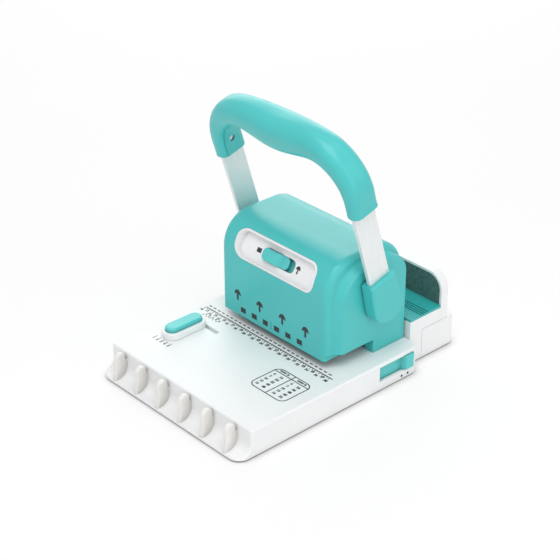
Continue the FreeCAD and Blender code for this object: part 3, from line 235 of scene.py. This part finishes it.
@dataclass(frozen=True)
class MouldedPlastic:
    """Satin injection-moulded plastic with a fine grain and painted shade in its creases."""

    name: str
    colour: Colour
    roughness: float
    clouding: float = 0.03
    grain: float = 2400.0
    relief: float = 0.000012
    edge: float = 0.0005
    # The next two set the painted shade: how far ambient occlusion looks and how much colour it
    # takes from creases.
    reach: float = 0.004
    crease: float = 0.25
    gloss: float = 0.0
    cloud_scale: float = 22.0
    cloud_detail: float = 3.0
    wear_scale: float = 90.0
    wear_detail: float = 4.0
    smoother: float = 0.04
    duller: float = 0.05
    relief_share: float = 0.35
    refraction: float = 1.49
    gloss_roughness: float = 0.18

    def material(self) -> bpy.types.Material:
        """Builds the finish.

        Returns:
            The finished material.
        """
        sheet = NodeSheet(self.name)
        spot = sheet.place()
        clouds = sheet.noise(spot, self.cloud_scale, self.cloud_detail)
        dark = tinted(self.colour, 1 - self.clouding)
        light = tinted(self.colour, 1 + self.clouding)
        sheet.shade(clouds, dark, light)
        # Painted shade: the colour is darkened in creases found by ambient occlusion.
        sheet.deepen(self.reach, self.crease)
        wear = sheet.noise(spot, self.wear_scale, self.wear_detail)
        sheet.roughen(wear, self.roughness - self.smoother, self.roughness + self.duller)
        pores = sheet.noise(spot, self.grain)
        sheet.emboss(pores, self.relief, self.relief_share, self.edge)
        sheet.tune("IOR", self.refraction)
        sheet.tune("Coat Weight", self.gloss)
        sheet.tune("Coat Roughness", self.gloss_roughness)
        return sheet.material


@dataclass(frozen=True)
class Metal:
    """Metal with fine marks along one direction."""

    name: str
    colour: Colour
    metallic: float
    roughness: float
    turn: float = 0.0
    stretch: Triple = (1, 1, 0.03)
    line_scale: float = 1800.0
    line_detail: float = 3.0
    dark: float = 0.94
    light: float = 1.04
    smoother: float = 0.06
    duller: float = 0.08
    relief: float = 0.00001
    relief_share: float = 0.3
    edge: float = 0.0002

    def material(self) -> bpy.types.Material:
        """Builds the finish.

        Returns:
            The finished material.
        """
        sheet = NodeSheet(self.name)
        spot = sheet.place(self.turn, self.stretch)
        lines = sheet.noise(spot, self.line_scale, self.line_detail)
        sheet.shade(lines, tinted(self.colour, self.dark), tinted(self.colour, self.light))
        sheet.roughen(lines, self.roughness - self.smoother, self.roughness + self.duller)
        sheet.emboss(lines, self.relief, self.relief_share, self.edge)
        sheet.tune("Metallic", self.metallic)
        return sheet.material


@dataclass(frozen=True)
class Foam:
    """Dark rubber with a pebbled face."""

    name: str
    colour: Colour
    pebble: float
    relief: float
    cloud_share: float = 0.4
    cloud_detail: float = 5.0
    dark: float = 0.7
    light: float = 1.35
    smoothest: float = 0.72
    dullest: float = 0.92
    relief_share: float = 0.6
    edge: float = 0.0003

    def material(self) -> bpy.types.Material:
        """Builds the finish.

        Returns:
            The finished material.
        """
        sheet = NodeSheet(self.name)
        spot = sheet.place()
        cells = sheet.add("ShaderNodeTexVoronoi")
        cells.inputs["Scale"].default_value = self.pebble
        sheet.join(spot, cells.inputs["Vector"])
        clouds = sheet.noise(spot, self.pebble * self.cloud_share, self.cloud_detail)
        sheet.shade(clouds, tinted(self.colour, self.dark), tinted(self.colour, self.light))
        sheet.roughen(clouds, self.smoothest, self.dullest)
        sheet.emboss(cells.outputs["Distance"], self.relief, self.relief_share, self.edge)
        return sheet.material


@dataclass(frozen=True)
class Ink:
    """Screen-printed ink, a little uneven."""

    name: str
    colour: Colour
    patch_scale: float = 700.0
    patch_detail: float = 4.0
    dark: float = 0.7
    light: float = 1.5
    smoothest: float = 0.42
    dullest: float = 0.6

    def material(self) -> bpy.types.Material:
        """Builds the finish.

        Returns:
            The finished material.
        """
        sheet = NodeSheet(self.name)
        patches = sheet.noise(sheet.place(), self.patch_scale, self.patch_detail)
        sheet.shade(patches, tinted(self.colour, self.dark), tinted(self.colour, self.light))
        sheet.roughen(patches, self.smoothest, self.dullest)
        return sheet.material


class Finishes:
    """Every finish of the machine, made once."""

    arm_lean: float = math.radians(-17)
    even: Triple = (1, 1, 1)

    def __init__(self) -> None:
        """Makes the materials."""
        # Each moulded plastic darkens its creases with painted shade; the ivory, control and
        # platform plastics take the most.
        self.white = MouldedPlastic(
            "white_plastic", (0.9, 0.905, 0.91, 1), 0.4, clouding=0.015, crease=0.12
        ).material()
        # Strong painted shade darkens the prongs' sides down in the scoop.
        self.ivory = MouldedPlastic(
            "ivory_plastic",
            (0.88, 0.86, 0.83, 1),
            0.42,
            clouding=0.015,
            edge=0.0002,
            reach=0.01,
            crease=0.6,
        ).material()
        self.panel = MouldedPlastic(
            "panel_plastic", (0.92, 0.92, 0.935, 1), 0.34, clouding=0.015
        ).material()
        self.teal = MouldedPlastic(
            "teal_plastic", (0.063, 0.55, 0.543, 1), 0.38, clouding=0.025, gloss=0.15
        ).material()
        # Strong painted shade darkens the knobs' slots and recesses.
        self.control = MouldedPlastic(
            "control_plastic",
            (0.09, 0.6, 0.59, 1),
            0.36,
            clouding=0.025,
            edge=0.0003,
            reach=0.007,
            crease=0.75,
            gloss=0.15,
        ).material()
        # Painted shade darkens the platform's grooves.
        self.platform = MouldedPlastic(
            "platform_plastic",
            (0.04, 0.45, 0.44, 1),
            0.36,
            clouding=0.025,
            edge=0.0001,
            crease=0.6,
        ).material()
        self.arm = Metal(
            "arm_metal", (0.83, 0.86, 0.865, 1), 0.3, 0.36, turn=self.arm_lean
        ).material()
        self.steel = Metal("ground_steel", (0.55, 0.56, 0.58, 1), 1.0, 0.32).material()
        self.wire = Metal(
            "spring_wire", (0.45, 0.46, 0.48, 1), 1.0, 0.35, stretch=self.even
        ).material()
        self.brass = Metal("bush_brass", (0.72, 0.52, 0.25, 1), 1.0, 0.3).material()
        self.screw = Metal(
            "plated_screw", (0.6, 0.61, 0.63, 1), 1.0, 0.25, stretch=self.even
        ).material()
        self.pad = Foam("pad_foam", (0.06, 0.14, 0.128, 1), 900.0, 0.0002).material()
        self.foot = Foam("foot_rubber", (0.03, 0.03, 0.03, 1), 1500.0, 0.00005).material()
        self.ink = Ink("dark_ink", (0.02, 0.022, 0.028, 1)).material()


def dress_nodes(names: Iterable[str], material: bpy.types.Material) -> None:
    """Gives CAD pieces their finish.

    Args:
        names: The CAD nodes.
        material: The finish they share.
    """
    for name in names:
        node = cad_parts[name]
        node.data.materials.clear()
        node.data.materials.append(material)
        log.info("%s takes %s", name, material.name)


class Stencil:
    """A thin print of ink, drawn flat and laid on a face."""

    thickness: float = 0.00004
    boldness: float = 0.09
    digit_share: float = 0.7
    digit_steps: int = 2
    dot_steps: int = 20
    cap_steps: int = 12
    cap_share: float = 0.5
    stem_share: float = 0.14
    hook_share: float = 0.16
    corner_steps: int = 6
    corner_profile: float = 0.5

    def __init__(self, name: str) -> None:
        """Starts an empty print.

        Args:
            name: The piece's name.
        """
        self.name = name
        self.shape = bmesh.new()

    def bar(self, left: float, right: float, low: float, high: float) -> None:
        """A filled rectangle.

        Args:
            left: Its left side.
            right: Its right side.
            low: Its lower side.
            high: Its upper side.
        """
        middle = Matrix.Translation(((left + right) / 2, (low + high) / 2, self.thickness / 2))
        extent = Matrix.Diagonal((right - left, high - low, self.thickness, 1))
        bmesh.ops.create_cube(self.shape, size=1.0, matrix=middle @ extent)

    def tick(self, across: float, width: float, low: float, high: float) -> None:
        """A filled rectangle about a middle line."""
        self.bar(across - width / 2, across + width / 2, low, high)

    def dot(self, across: float, up: float, radius: float) -> None:
        """A filled circle.

        Args:
            across: Its middle across.
            up: Its middle upwards.
            radius: Its radius.
        """
        bmesh.ops.create_cone(
            self.shape,
            cap_ends=True,
            segments=self.dot_steps,
            radius1=radius,
            radius2=radius,
            depth=self.thickness,
            matrix=Matrix.Translation((across, up, self.thickness / 2)),
        )

    def thicken(self, made: bmesh.types.BMesh, faces: list[bmesh.types.BMFace]) -> None:
        """Raises flat faces by the ink's thickness.

        Args:
            made: The mesh that holds them.
            faces: The faces to raise.
        """
        raised = bmesh.ops.extrude_face_region(made, geom=faces, use_keep_orig=True)
        lifted = [item for item in raised["geom"] if isinstance(item, bmesh.types.BMVert)]
        bmesh.ops.translate(made, verts=lifted, vec=(0, 0, self.thickness))

    def patch(self, corners: Iterable[Pair]) -> None:
        """A filled outline with its corners in turn, anticlockwise."""
        face = self.shape.faces.new([self.shape.verts.new((x, y, 0)) for x, y in corners])
        self.thicken(self.shape, [face])

    def mushroom(self, across: float, low: float, width: float, height: float) -> None:
        """The sign for a disc hole: a round cap on a stem.

        Args:
            across: Its middle across.
            low: Its foot.
            width: Width of the cap.
            height: Height over all.
        """
        stem = width * self.stem_share
        half = width / 2
        rise = height * self.cap_share
        rim = low + height * (1 - self.cap_share)
        under = rim + rise * self.hook_share
        outline = [(across - stem, low), (across + stem, low), (across + stem, under)]
        for step in range(self.cap_steps + 1):
            angle = step * math.pi / self.cap_steps
            outline.append((across + half * math.cos(angle), rim + rise * math.sin(angle)))
        outline.append((across - stem, under))
        self.patch(outline)

    def rounded_frame(
        self, left: float, right: float, low: float, high: float, corner: float, line: float
    ) -> None:
        """A rounded rectangle drawn as a line.

        Args:
            left: Its left side.
            right: Its right side.
            low: Its lower side.
            high: Its upper side.
            corner: Radius of its corners.
            line: Width of the line.
        """
        made = bmesh.new()
        middle = Matrix.Translation(((left + right) / 2, (low + high) / 2, 0))
        extent = Matrix.Diagonal(((right - left) / 2, (high - low) / 2, 1, 1))
        bmesh.ops.create_grid(
            made, x_segments=1, y_segments=1, size=1.0, matrix=middle @ extent
        )
        bmesh.ops.bevel(
            made,
            geom=made.verts[:],
            offset=corner,
            offset_type="OFFSET",
            segments=self.corner_steps,
            profile=self.corner_profile,
            affect="VERTICES",
            material=-1,
        )
        inset = bmesh.ops.inset_region(
            made, faces=made.faces[:], thickness=line, use_boundary=True
        )
        ring = set(inset["faces"])
        inside = [face for face in made.faces if face not in ring]
        bmesh.ops.delete(made, geom=inside, context="FACES")
        self.thicken(made, made.faces[:])
        bmesh.ops.recalc_face_normals(made, faces=made.faces[:])
        self.take(made)

    def digits(self, text: str, across: float, up: float, height: float) -> None:
        """A number.

        Args:
            text: The digits to print.
            across: Their middle across.
            up: Their middle upwards.
            height: Height of a digit.
        """
        curve = bpy.data.curves.new("digits", "FONT")
        curve.body = text
        curve.size = height / self.digit_share
        curve.align_x = "CENTER"
        curve.align_y = "CENTER"
        curve.extrude = self.thickness / 2
        curve.offset = height * self.boldness
        curve.resolution_u = self.digit_steps
        holder = bpy.data.objects.new("digits", curve)
        mesh = bpy.data.meshes.new_from_object(holder)
        mesh.transform(Matrix.Translation((across, up, self.thickness / 2)))
        self.shape.from_mesh(mesh)
        bpy.data.objects.remove(holder)
        bpy.data.curves.remove(curve)
        bpy.data.meshes.remove(mesh)

    def take(self, made: bmesh.types.BMesh) -> None:
        """Adds another shape to the print.

        Args:
            made: The shape to add, freed here.
        """
        mesh = bpy.data.meshes.new("stencil")
        made.to_mesh(mesh)
        made.free()
        self.shape.from_mesh(mesh)
        bpy.data.meshes.remove(mesh)

    def lay(self, place: Matrix, body: Body, ink: bpy.types.Material) -> bpy.types.Object:
        """Sets the print on its face.

        Args:
            place: From the flat drawing to the machine.
            body: What the print moves with.
            ink: Its finish.

        Returns:
            The finished piece.
        """
        bmesh.ops.transform(self.shape, matrix=place, verts=self.shape.verts[:])
        return finish_piece(self.name, self.shape, body, ink)


def finish_piece(
    name: str, shape: bmesh.types.BMesh, body: Body, material: bpy.types.Material
) -> bpy.types.Object:
    """Turns a shape into a piece of the machine.

    Args:
        name: The piece's name.
        shape: Its mesh in place, freed here.
        body: What it moves with.
        material: Its finish.

    Returns:
        The finished piece.
    """
    mesh = bpy.data.meshes.new(name)
    shape.to_mesh(mesh)
    shape.free()
    piece = bpy.data.objects.new(name, mesh)
    piece.data.materials.append(material)
    bpy.context.scene.collection.objects.link(piece)
    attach(piece, body.value)
    log.info("%s rides on %s", name, body.value)
    return piece


class Assembly(ABC):
    """A sub-assembly of the machine."""

    @abstractmethod
    def dress(self, finishes: Finishes) -> None:
        """Gives the sub-assembly's CAD pieces their finishes."""

    def build(self, finishes: Finishes) -> None:
        """Adds pieces of its own, where the sub-assembly has any."""


@dataclass(frozen=True)
class MarkRow:
    """A row of short numbered marks on the table."""

    marks: tuple[float, ...]
    low: float
    high: float
    number_up: float
    number_shift: float = 0.0


@dataclass
class Base(Assembly):
    """White base with its prongs, feet and the prints on its table."""

    table: float = 0.0235
    line: float = 0.0009
    tick: float = 0.0007
    digit: float = 0.0023
    ruler_line: float = -0.0173
    ruler_left: float = -0.0735
    ruler_right: float = 0.0702
    ruler_step: float = 0.00504
    dash_length: float = 0.0031
    dash_width: float = 0.0012
    dash_lift: float = 0.0031
    tick_long: float = 0.0021
    tick_short: float = 0.0013
    digit_drops: Pair = (0.0046, 0.0031)
    first_number: int = 10
    chart_left: float = 0.0312
    chart_right: float = 0.068
    chart_front: float = -0.0656
    chart_back: float = -0.0341
    chart_header: float = 0.0055
    chart_corner: float = 0.006
    chart_blocks: tuple[Sides, Sides] = (
        (0.004, 0.0105, 0.0021, 0.0036),
        (0.0115, 0.0135, 0.0019, 0.0038),
    )
    chart_rows: int = 5
    row_drop: float = 0.0036
    row_pitch: float = 0.0044
    number_shifts: Pair = (0.0046, 0.0118)
    first_setting: int = 4
    setting_step: int = 3
    first_load: int = 2
    load_steps: tuple[int, int] = (8, 12)
    front_row: MarkRow = MarkRow(
        (-0.0653, -0.061, -0.0567, -0.0524, -0.0481), -0.0749, -0.0731, -0.0766
    )
    back_row: MarkRow = MarkRow(
        (-0.0662, -0.0624, -0.0586, -0.0548, -0.051), -0.0272, -0.0254, -0.0244, 0.0016
    )

    def dress(self, finishes: Finishes) -> None:
        """Gives the base's CAD pieces their finishes.

        Args:
            finishes: The machine's finishes.
        """
        dress_nodes(("base_shell", "base_plate"), finishes.white)
        dress_nodes(("comb_prongs",), finishes.ivory)
        dress_nodes(("rubber_feet",), finishes.foot)
        dress_nodes(("base_screws",), finishes.screw)
        dress_nodes(("die_plate",), finishes.steel)

    def build(self, finishes: Finishes) -> None:
        """Prints the ruler, the chart and the guide's marks on the table.

        Args:
            finishes: The machine's finishes.
        """
        on_table = Matrix.Translation((0, 0, self.table))
        for stencil in (self.ruler(), self.chart(), self.guide_marks()):
            stencil.lay(on_table, Body.BASE, finishes.ink)

    def ruler(self) -> Stencil:
        """Draws the paper ruler in front of the head.

        Returns:
            The flat print.
        """
        stencil = Stencil("table_ruler")
        line = self.ruler_line
        stencil.bar(self.ruler_left, self.ruler_right, line, line + self.line)
        steps = int((self.ruler_right - self.ruler_left) / self.ruler_step)
        dash_low = line + self.dash_lift
        for step in range(steps + 1):
            across = self.ruler_left + step * self.ruler_step
            number = str(step + self.first_number)
            stencil.tick(across, self.tick, line - self.tick_long, line)
            stencil.digits(number, across, line - self.digit_drops[step % 2], self.digit)
            if step < steps:
                between = across + self.ruler_step / 2
                dash_end = across + self.dash_length
                stencil.tick(between, self.tick, line - self.tick_short, line)
                stencil.bar(across, dash_end, dash_low, dash_low + self.dash_width)
        return stencil

    def chart(self) -> Stencil:
        """Draws the setting chart: twice two columns of plain numbers under a header.

        Returns:
            The flat print.
        """
        stencil = Stencil("table_chart")
        left, right = self.chart_left, self.chart_right
        front, back = self.chart_front, self.chart_back
        stencil.rounded_frame(left, right, front, back, self.chart_corner, self.line)
        header = back - self.chart_header
        middle = (left + right) / 2
        stencil.bar(left, right, header, header + self.line)
        stencil.tick(middle, self.line, front, back)
        for start, load_step in zip((left, middle), self.load_steps):
            for near, far, low, high in self.chart_blocks:
                stencil.bar(start + near, start + far, header + low, header + high)
            for row in range(self.chart_rows):
                up = header - self.row_drop - row * self.row_pitch
                setting = self.first_setting + row * self.setting_step
                load = (row + self.first_load) * load_step
                for number, shift in zip((setting, load), self.number_shifts):
                    stencil.digits(str(number), start + shift, up, self.digit)
        return stencil

    def guide_marks(self) -> Stencil:
        """Draws the numbered marks in front of the edge guide and behind it.

        Returns:
            The flat print.
        """
        stencil = Stencil("guide_marks")
        for row in (self.front_row, self.back_row):
            for number, across in enumerate(row.marks, start=1):
                stencil.tick(across, self.tick, row.low, row.high)
                beside = across + row.number_shift
                stencil.digits(str(number), beside, row.number_up, self.digit)
        return stencil


@dataclass
class Head(Assembly):
    """Teal head with its switch panel, switch and front prints."""

    front: float = -0.013
    shift: float = -0.0017
    pitch: float = 0.0127
    squares: int = 6
    square_low: float = 0.0338
    square_width: float = 0.0058
    square_height: float = 0.0044
    signs: int = 4
    sign_step: int = 2
    sign_low: float = 0.0428
    sign_width: float = 0.0076
    sign_height: float = 0.0092
    tick_width: float = 0.0004
    tick_drop: float = 0.0005
    tick_rise: float = 0.0062
    axis_y: float = 0.02675
    axis_z: float = 0.072
    tilt: float = math.radians(60)
    panel_face: float = 0.0374
    icon_spread: float = 0.0225
    icon_square: Pair = (0.0048, 0.0036)
    icon_inset: float = 0.0023
    icon_low: float = -0.0032
    icon_width: float = 0.0047
    icon_height: float = 0.0062

    def dress(self, finishes: Finishes) -> None:
        """Gives the head's CAD pieces their finishes.

        Args:
            finishes: The machine's finishes.
        """
        dress_nodes(("head_cover",), finishes.teal)
        dress_nodes(("mode_slider",), finishes.control)
        dress_nodes(("switch_panel",), finishes.panel)

    def build(self, finishes: Finishes) -> None:
        """Prints the hole signs on the front and on the switch panel.

        Args:
            finishes: The machine's finishes.
        """
        upright = tilted((self.shift, self.front, 0), math.pi / 2)
        self.front_signs().lay(upright, Body.BASE, finishes.ink)
        panel = tilted((0, self.axis_y, self.axis_z), self.tilt)
        raised = panel @ Matrix.Translation((0, 0, self.panel_face))
        self.panel_signs().lay(raised, Body.BASE, finishes.ink)

    def front_signs(self) -> Stencil:
        """Draws six squares, four mushrooms and a middle tick over the throat.

        Returns:
            The flat print.
        """
        stencil = Stencil("head_signs")
        low = self.square_low
        for number in range(self.squares):
            across = (number - (self.squares - 1) / 2) * self.pitch
            stencil.tick(across, self.square_width, low, low + self.square_height)
        for number in range(self.signs):
            across = (number - (self.signs - 1) / 2) * self.sign_step * self.pitch
            stencil.mushroom(across, self.sign_low, self.sign_width, self.sign_height)
        stencil.tick(0, self.tick_width, low - self.tick_drop, low + self.tick_rise)
        return stencil

    def panel_signs(self) -> Stencil:
        """Draws a square at the switch's left end and a mushroom at its right end.

        Returns:
            The flat print.
        """
        stencil = Stencil("panel_signs")
        width, height = self.icon_square
        stencil.tick(-self.icon_spread, width, -height / 2, height / 2)
        across = self.icon_spread - self.icon_inset
        stencil.mushroom(across, self.icon_low, self.icon_width, self.icon_height)
        return stencil


@dataclass
class Handle(Assembly):
    """Bowed lever with steel arms, hub boots and grip."""

    def dress(self, finishes: Finishes) -> None:
        """Gives the handle's CAD pieces their finishes.

        Args:
            finishes: The machine's finishes.
        """
        grip = ("grip_cheek_left", "grip_cheek_right", "grip_shell")
        dress_nodes(("arm_left", "arm_right"), finishes.arm)
        dress_nodes(("boot_left", "boot_right", *grip), finishes.teal)
        dress_nodes(("grip_screws",), finishes.screw)


@dataclass
class Controls(Assembly):
    """Edge guide on the table and depth slider in the right wall."""

    wall: float = 0.08
    dot_rows: Pair = (0.047, 0.0536)
    dot_height: float = 0.0038
    dot_radius: float = 0.00105

    def dress(self, finishes: Finishes) -> None:
        """Gives the controls' CAD pieces their finishes.

        Args:
            finishes: The machine's finishes.
        """
        dress_nodes(("guide_fence",), finishes.white)
        dress_nodes(("guide_button", "depth_slider"), finishes.control)
        dress_nodes(("depth_stop",), finishes.steel)

    def build(self, finishes: Finishes) -> None:
        """Prints two setting dots under the depth slider.

        Args:
            finishes: The machine's finishes.
        """
        stencil = Stencil("depth_dots")
        for row in self.dot_rows:
            stencil.dot(row, self.dot_height, self.dot_radius)
        facing_right = Matrix(
            ((0, 0, 1, self.wall), (1, 0, 0, 0), (0, 1, 0, 0), (0, 0, 0, 1))
        )
        stencil.lay(facing_right, Body.BASE, finishes.ink)


@dataclass
class RearUnit(Assembly):
    """White rear housing with a teal platform, a padded wall and the chip drawer."""

    def dress(self, finishes: Finishes) -> None:
        """Gives the rear unit's CAD pieces their finishes.

        Args:
            finishes: The machine's finishes.
        """
        white = ("rear_housing", "closer_wall", "chip_drawer", "closer_bar")
        dress_nodes(white, finishes.white)
        dress_nodes(("closer_platform",), finishes.platform)
        dress_nodes(("closer_pad",), finishes.pad)


@dataclass
class PunchWorks(Assembly):
    """Steel parts inside the head, with return springs under the bar, wound here as rigid coils
    that do not shorten.
    """

    coil_radius: float = 0.0046
    wire_radius: float = 0.0006
    wire_sides: int = 10
    turns: int = 4
    turn_steps: int = 28
    stroke: float = 0.009

    def dress(self, finishes: Finishes) -> None:
        """Gives the inner CAD pieces their finishes.

        Args:
            finishes: The machine's finishes.
        """
        punches = ("punch_guide", "square_punches", "disc_punches", "selector_plate")
        carriage = ("punch_bar", "bar_guide_pins")
        frames = ("frame_left", "frame_right", "frame_spacer")
        drive = ("handle_shaft", "press_cams", "closer_crank")
        dress_nodes((*punches, *carriage, *frames, *drive), finishes.steel)
        dress_nodes(("return_springs",), finishes.wire)
        dress_nodes(("shaft_bushes",), finishes.brass)

    def build(self, finishes: Finishes) -> None:
        """Winds the two return springs in place of their rigid CAD solids.

        Args:
            finishes: The machine's finishes.
        """
        low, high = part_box("return_springs")
        length = high[2] - low[2]
        spread = high[0] - self.coil_radius - self.wire_radius
        row = (low[1] + high[1]) / 2
        shape = bmesh.new()
        for across in (-spread, spread):
            foot = Vector((across, row, low[2] + self.wire_radius))
            self.wind(shape, foot, length - 2 * self.wire_radius)
        bmesh.ops.recalc_face_normals(shape, faces=shape.faces[:])
        springs = finish_piece("spring_coils", shape, Body.BASE, finishes.wire)
        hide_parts("return_springs")
        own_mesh(springs)

    def wind(self, shape: bmesh.types.BMesh, foot: Vector, rise: float) -> None:
        """One coil of wire, closed at both ends.

        Args:
            shape: The mesh that takes it.
            foot: Where the coil's axis starts.
            rise: Height from the first turn's middle to the last one's.
        """
        ring = bmesh.ops.create_circle(
            shape,
            segments=self.wire_sides,
            radius=self.wire_radius,
            matrix=tilted(foot + Vector((self.coil_radius, 0, 0)), math.pi / 2),
        )
        edges = list({edge for vert in ring["verts"] for edge in vert.link_edges})
        steps = self.turns * self.turn_steps
        bmesh.ops.spin(
            shape,
            geom=ring["verts"] + edges,
            cent=foot,
            axis=(0, 0, 1),
            dvec=(0, 0, rise / steps),
            angle=2 * math.pi * self.turns,
            steps=steps,
        )
        bmesh.ops.holes_fill(shape, edges=[edge for edge in shape.edges if edge.is_boundary])


@dataclass(frozen=True)
class Lamp:
    """A soft square lamp aimed at the machine."""

    name: str
    spot: Triple
    side: float
    power: float
    target: Triple = (0, 0, 0.08)

    def hang(self) -> None:
        """Adds the lamp to the scene."""
        light = bpy.data.lights.new(self.name, "AREA")
        light.energy = self.power
        light.size = self.side
        lamp = bpy.data.objects.new(self.name, light)
        lamp.location = self.spot
        aim = Vector(self.target) - Vector(self.spot)
        lamp.rotation_euler = aim.to_track_quat("-Z", "Y").to_euler()
        bpy.context.scene.collection.objects.link(lamp)
        log.info("%s hangs at %s", self.name, self.spot)


@dataclass
class Studio:
    """White floor, soft lamps and the camera."""

    lens: float = 102.857
    sensor_width: float = 36.0
    near_clip: float = 0.01
    camera_spot: Triple = (0.77448, -0.71285, 0.66285)
    camera_tilt: float = math.radians(60.69)
    camera_turn: float = math.radians(47.58)
    white: Colour = (1, 1, 1, 1)
    ambient: float = 0.47
    backdrop: float = 1.0
    floor_half: float = 4.0
    floor_white: float = 0.65
    paper_scale: float = 3.0
    paper_tints: tuple[Colour, Colour] = ((0.96, 0.96, 0.96, 1), (0.98, 0.98, 0.98, 1))
    paper_roughness: float = 0.9
    # The next three set the painted contact shadow on the floor, found by ambient occlusion.
    contact_reach: float = 0.008
    contact_depth: float = 0.9
    contact_samples: int = 12
    lamps: tuple[Lamp, ...] = (
        Lamp("top_lamp", (0.35, -0.4, 1.3), 1.0, 9.0),
        Lamp("back_lamp", (-0.95, 0.85, 0.75), 1.2, 6.5),
        Lamp("side_lamp", (1.25, 0.1, 0.5), 1.0, 3.1),
        Lamp("front_lamp", (0.1, -1.4, 0.22), 0.8, 1.0),
    )

    def build(self) -> None:
        """Sets up the whole studio."""
        bpy.context.scene.view_settings.view_transform = "Standard"
        self.sky()
        self.floor()
        for lamp in self.lamps:
            lamp.hang()
        self.camera()

    def sky(self) -> None:
        """Even white surroundings, plain white where they are seen or mirrored."""
        world = bpy.data.worlds.new("studio")
        world.use_nodes = True
        bpy.context.scene.world = world
        tree = world.node_tree
        lit = tree.nodes["Background"]
        seen = tree.nodes.new("ShaderNodeBackground")
        for shell, strength in ((lit, self.ambient), (seen, self.backdrop)):
            shell.inputs["Color"].default_value = self.white
            shell.inputs["Strength"].default_value = strength
        rays = tree.nodes.new("ShaderNodeLightPath").outputs
        shown = rays["Is Camera Ray"]
        for kind in ("Is Glossy Ray", "Is Transmission Ray"):
            either = tree.nodes.new("ShaderNodeMath")
            either.operation = "MAXIMUM"
            tree.links.new(shown, either.inputs[0])
            tree.links.new(rays[kind], either.inputs[1])
            shown = either.outputs["Value"]
        mix = tree.nodes.new("ShaderNodeMixShader")
        tree.links.new(shown, mix.inputs["Fac"])
        tree.links.new(lit.outputs["Background"], mix.inputs[1])
        tree.links.new(seen.outputs["Background"], mix.inputs[2])
        tree.links.new(mix.outputs["Shader"], tree.nodes["World Output"].inputs["Surface"])

    def floor(self) -> None:
        """Pale floor that keeps a faint real shadow and has a painted contact shadow close to
        the machine.
        """
        shape = bmesh.new()
        bmesh.ops.create_grid(shape, x_segments=1, y_segments=1, size=self.floor_half)
        mesh = bpy.data.meshes.new("floor")
        shape.to_mesh(mesh)
        shape.free()
        floor = bpy.data.objects.new("floor", mesh)
        bpy.context.scene.collection.objects.link(floor)
        floor.data.materials.append(self.paper())
        log.info("floor is laid")

    def paper(self) -> bpy.types.Material:
        """Builds the floor's paper, which glows to the camera away from the machine and has a
        painted contact shadow close to it.

        Returns:
            The finished material.
        """
        sheet = NodeSheet("floor_paper")
        clouds = sheet.noise(sheet.place(), self.paper_scale)
        sheet.shade(clouds, *self.paper_tints)
        # Painted contact shadow: the floor's colour darkens close to the machine.
        sheet.deepen(self.contact_reach, self.contact_depth)
        sheet.tune("Roughness", self.paper_roughness)
        glow = sheet.add("ShaderNodeEmission")
        glow.inputs["Strength"].default_value = self.backdrop
        rays = sheet.add("ShaderNodeLightPath")
        # Painted contact shadow: the glow seen by the camera fades where ambient occlusion
        # finds the machine close by.
        contact_shadow_mask = sheet.add("ShaderNodeAmbientOcclusion", samples=self.contact_samples)
        contact_shadow_mask.inputs["Distance"].default_value = self.contact_reach
        open_floor = sheet.add("ShaderNodeMath", operation="MULTIPLY")
        open_floor.inputs[1].default_value = self.floor_white
        sheet.join(contact_shadow_mask.outputs["AO"], open_floor.inputs[0])
        share = sheet.add("ShaderNodeMath", operation="MULTIPLY")
        sheet.join(rays.outputs["Is Camera Ray"], share.inputs[0])
        sheet.join(open_floor.outputs["Value"], share.inputs[1])
        mix = sheet.add("ShaderNodeMixShader")
        sheet.join(share.outputs["Value"], mix.inputs["Fac"])
        sheet.join(sheet.shader.outputs["BSDF"], mix.inputs[1])
        sheet.join(glow.outputs["Emission"], mix.inputs[2])
        sheet.join(mix.outputs["Shader"], sheet.tree.nodes["Material Output"].inputs["Surface"])
        return sheet.material

    def camera(self) -> None:
        """The photograph's viewpoint."""
        lens = bpy.data.cameras.new("camera")
        lens.lens = self.lens
        lens.sensor_width = self.sensor_width
        lens.clip_start = self.near_clip
        camera = bpy.data.objects.new("camera", lens)
        camera.location = self.camera_spot
        camera.rotation_euler = (self.camera_tilt, 0, self.camera_turn)
        bpy.context.scene.collection.objects.link(camera)
        bpy.context.scene.camera = camera


def main() -> None:
    """Dresses the machine and sets up the studio."""
    logging.basicConfig(level=logging.INFO)
    finishes = Finishes()
    assemblies = (Base(), Head(), Handle(), Controls(), RearUnit(), PunchWorks())
    for assembly in assemblies:
        assembly.dress(finishes)
        assembly.build(finishes)
    Studio().build()


if __name__ == "__main__":
    main()
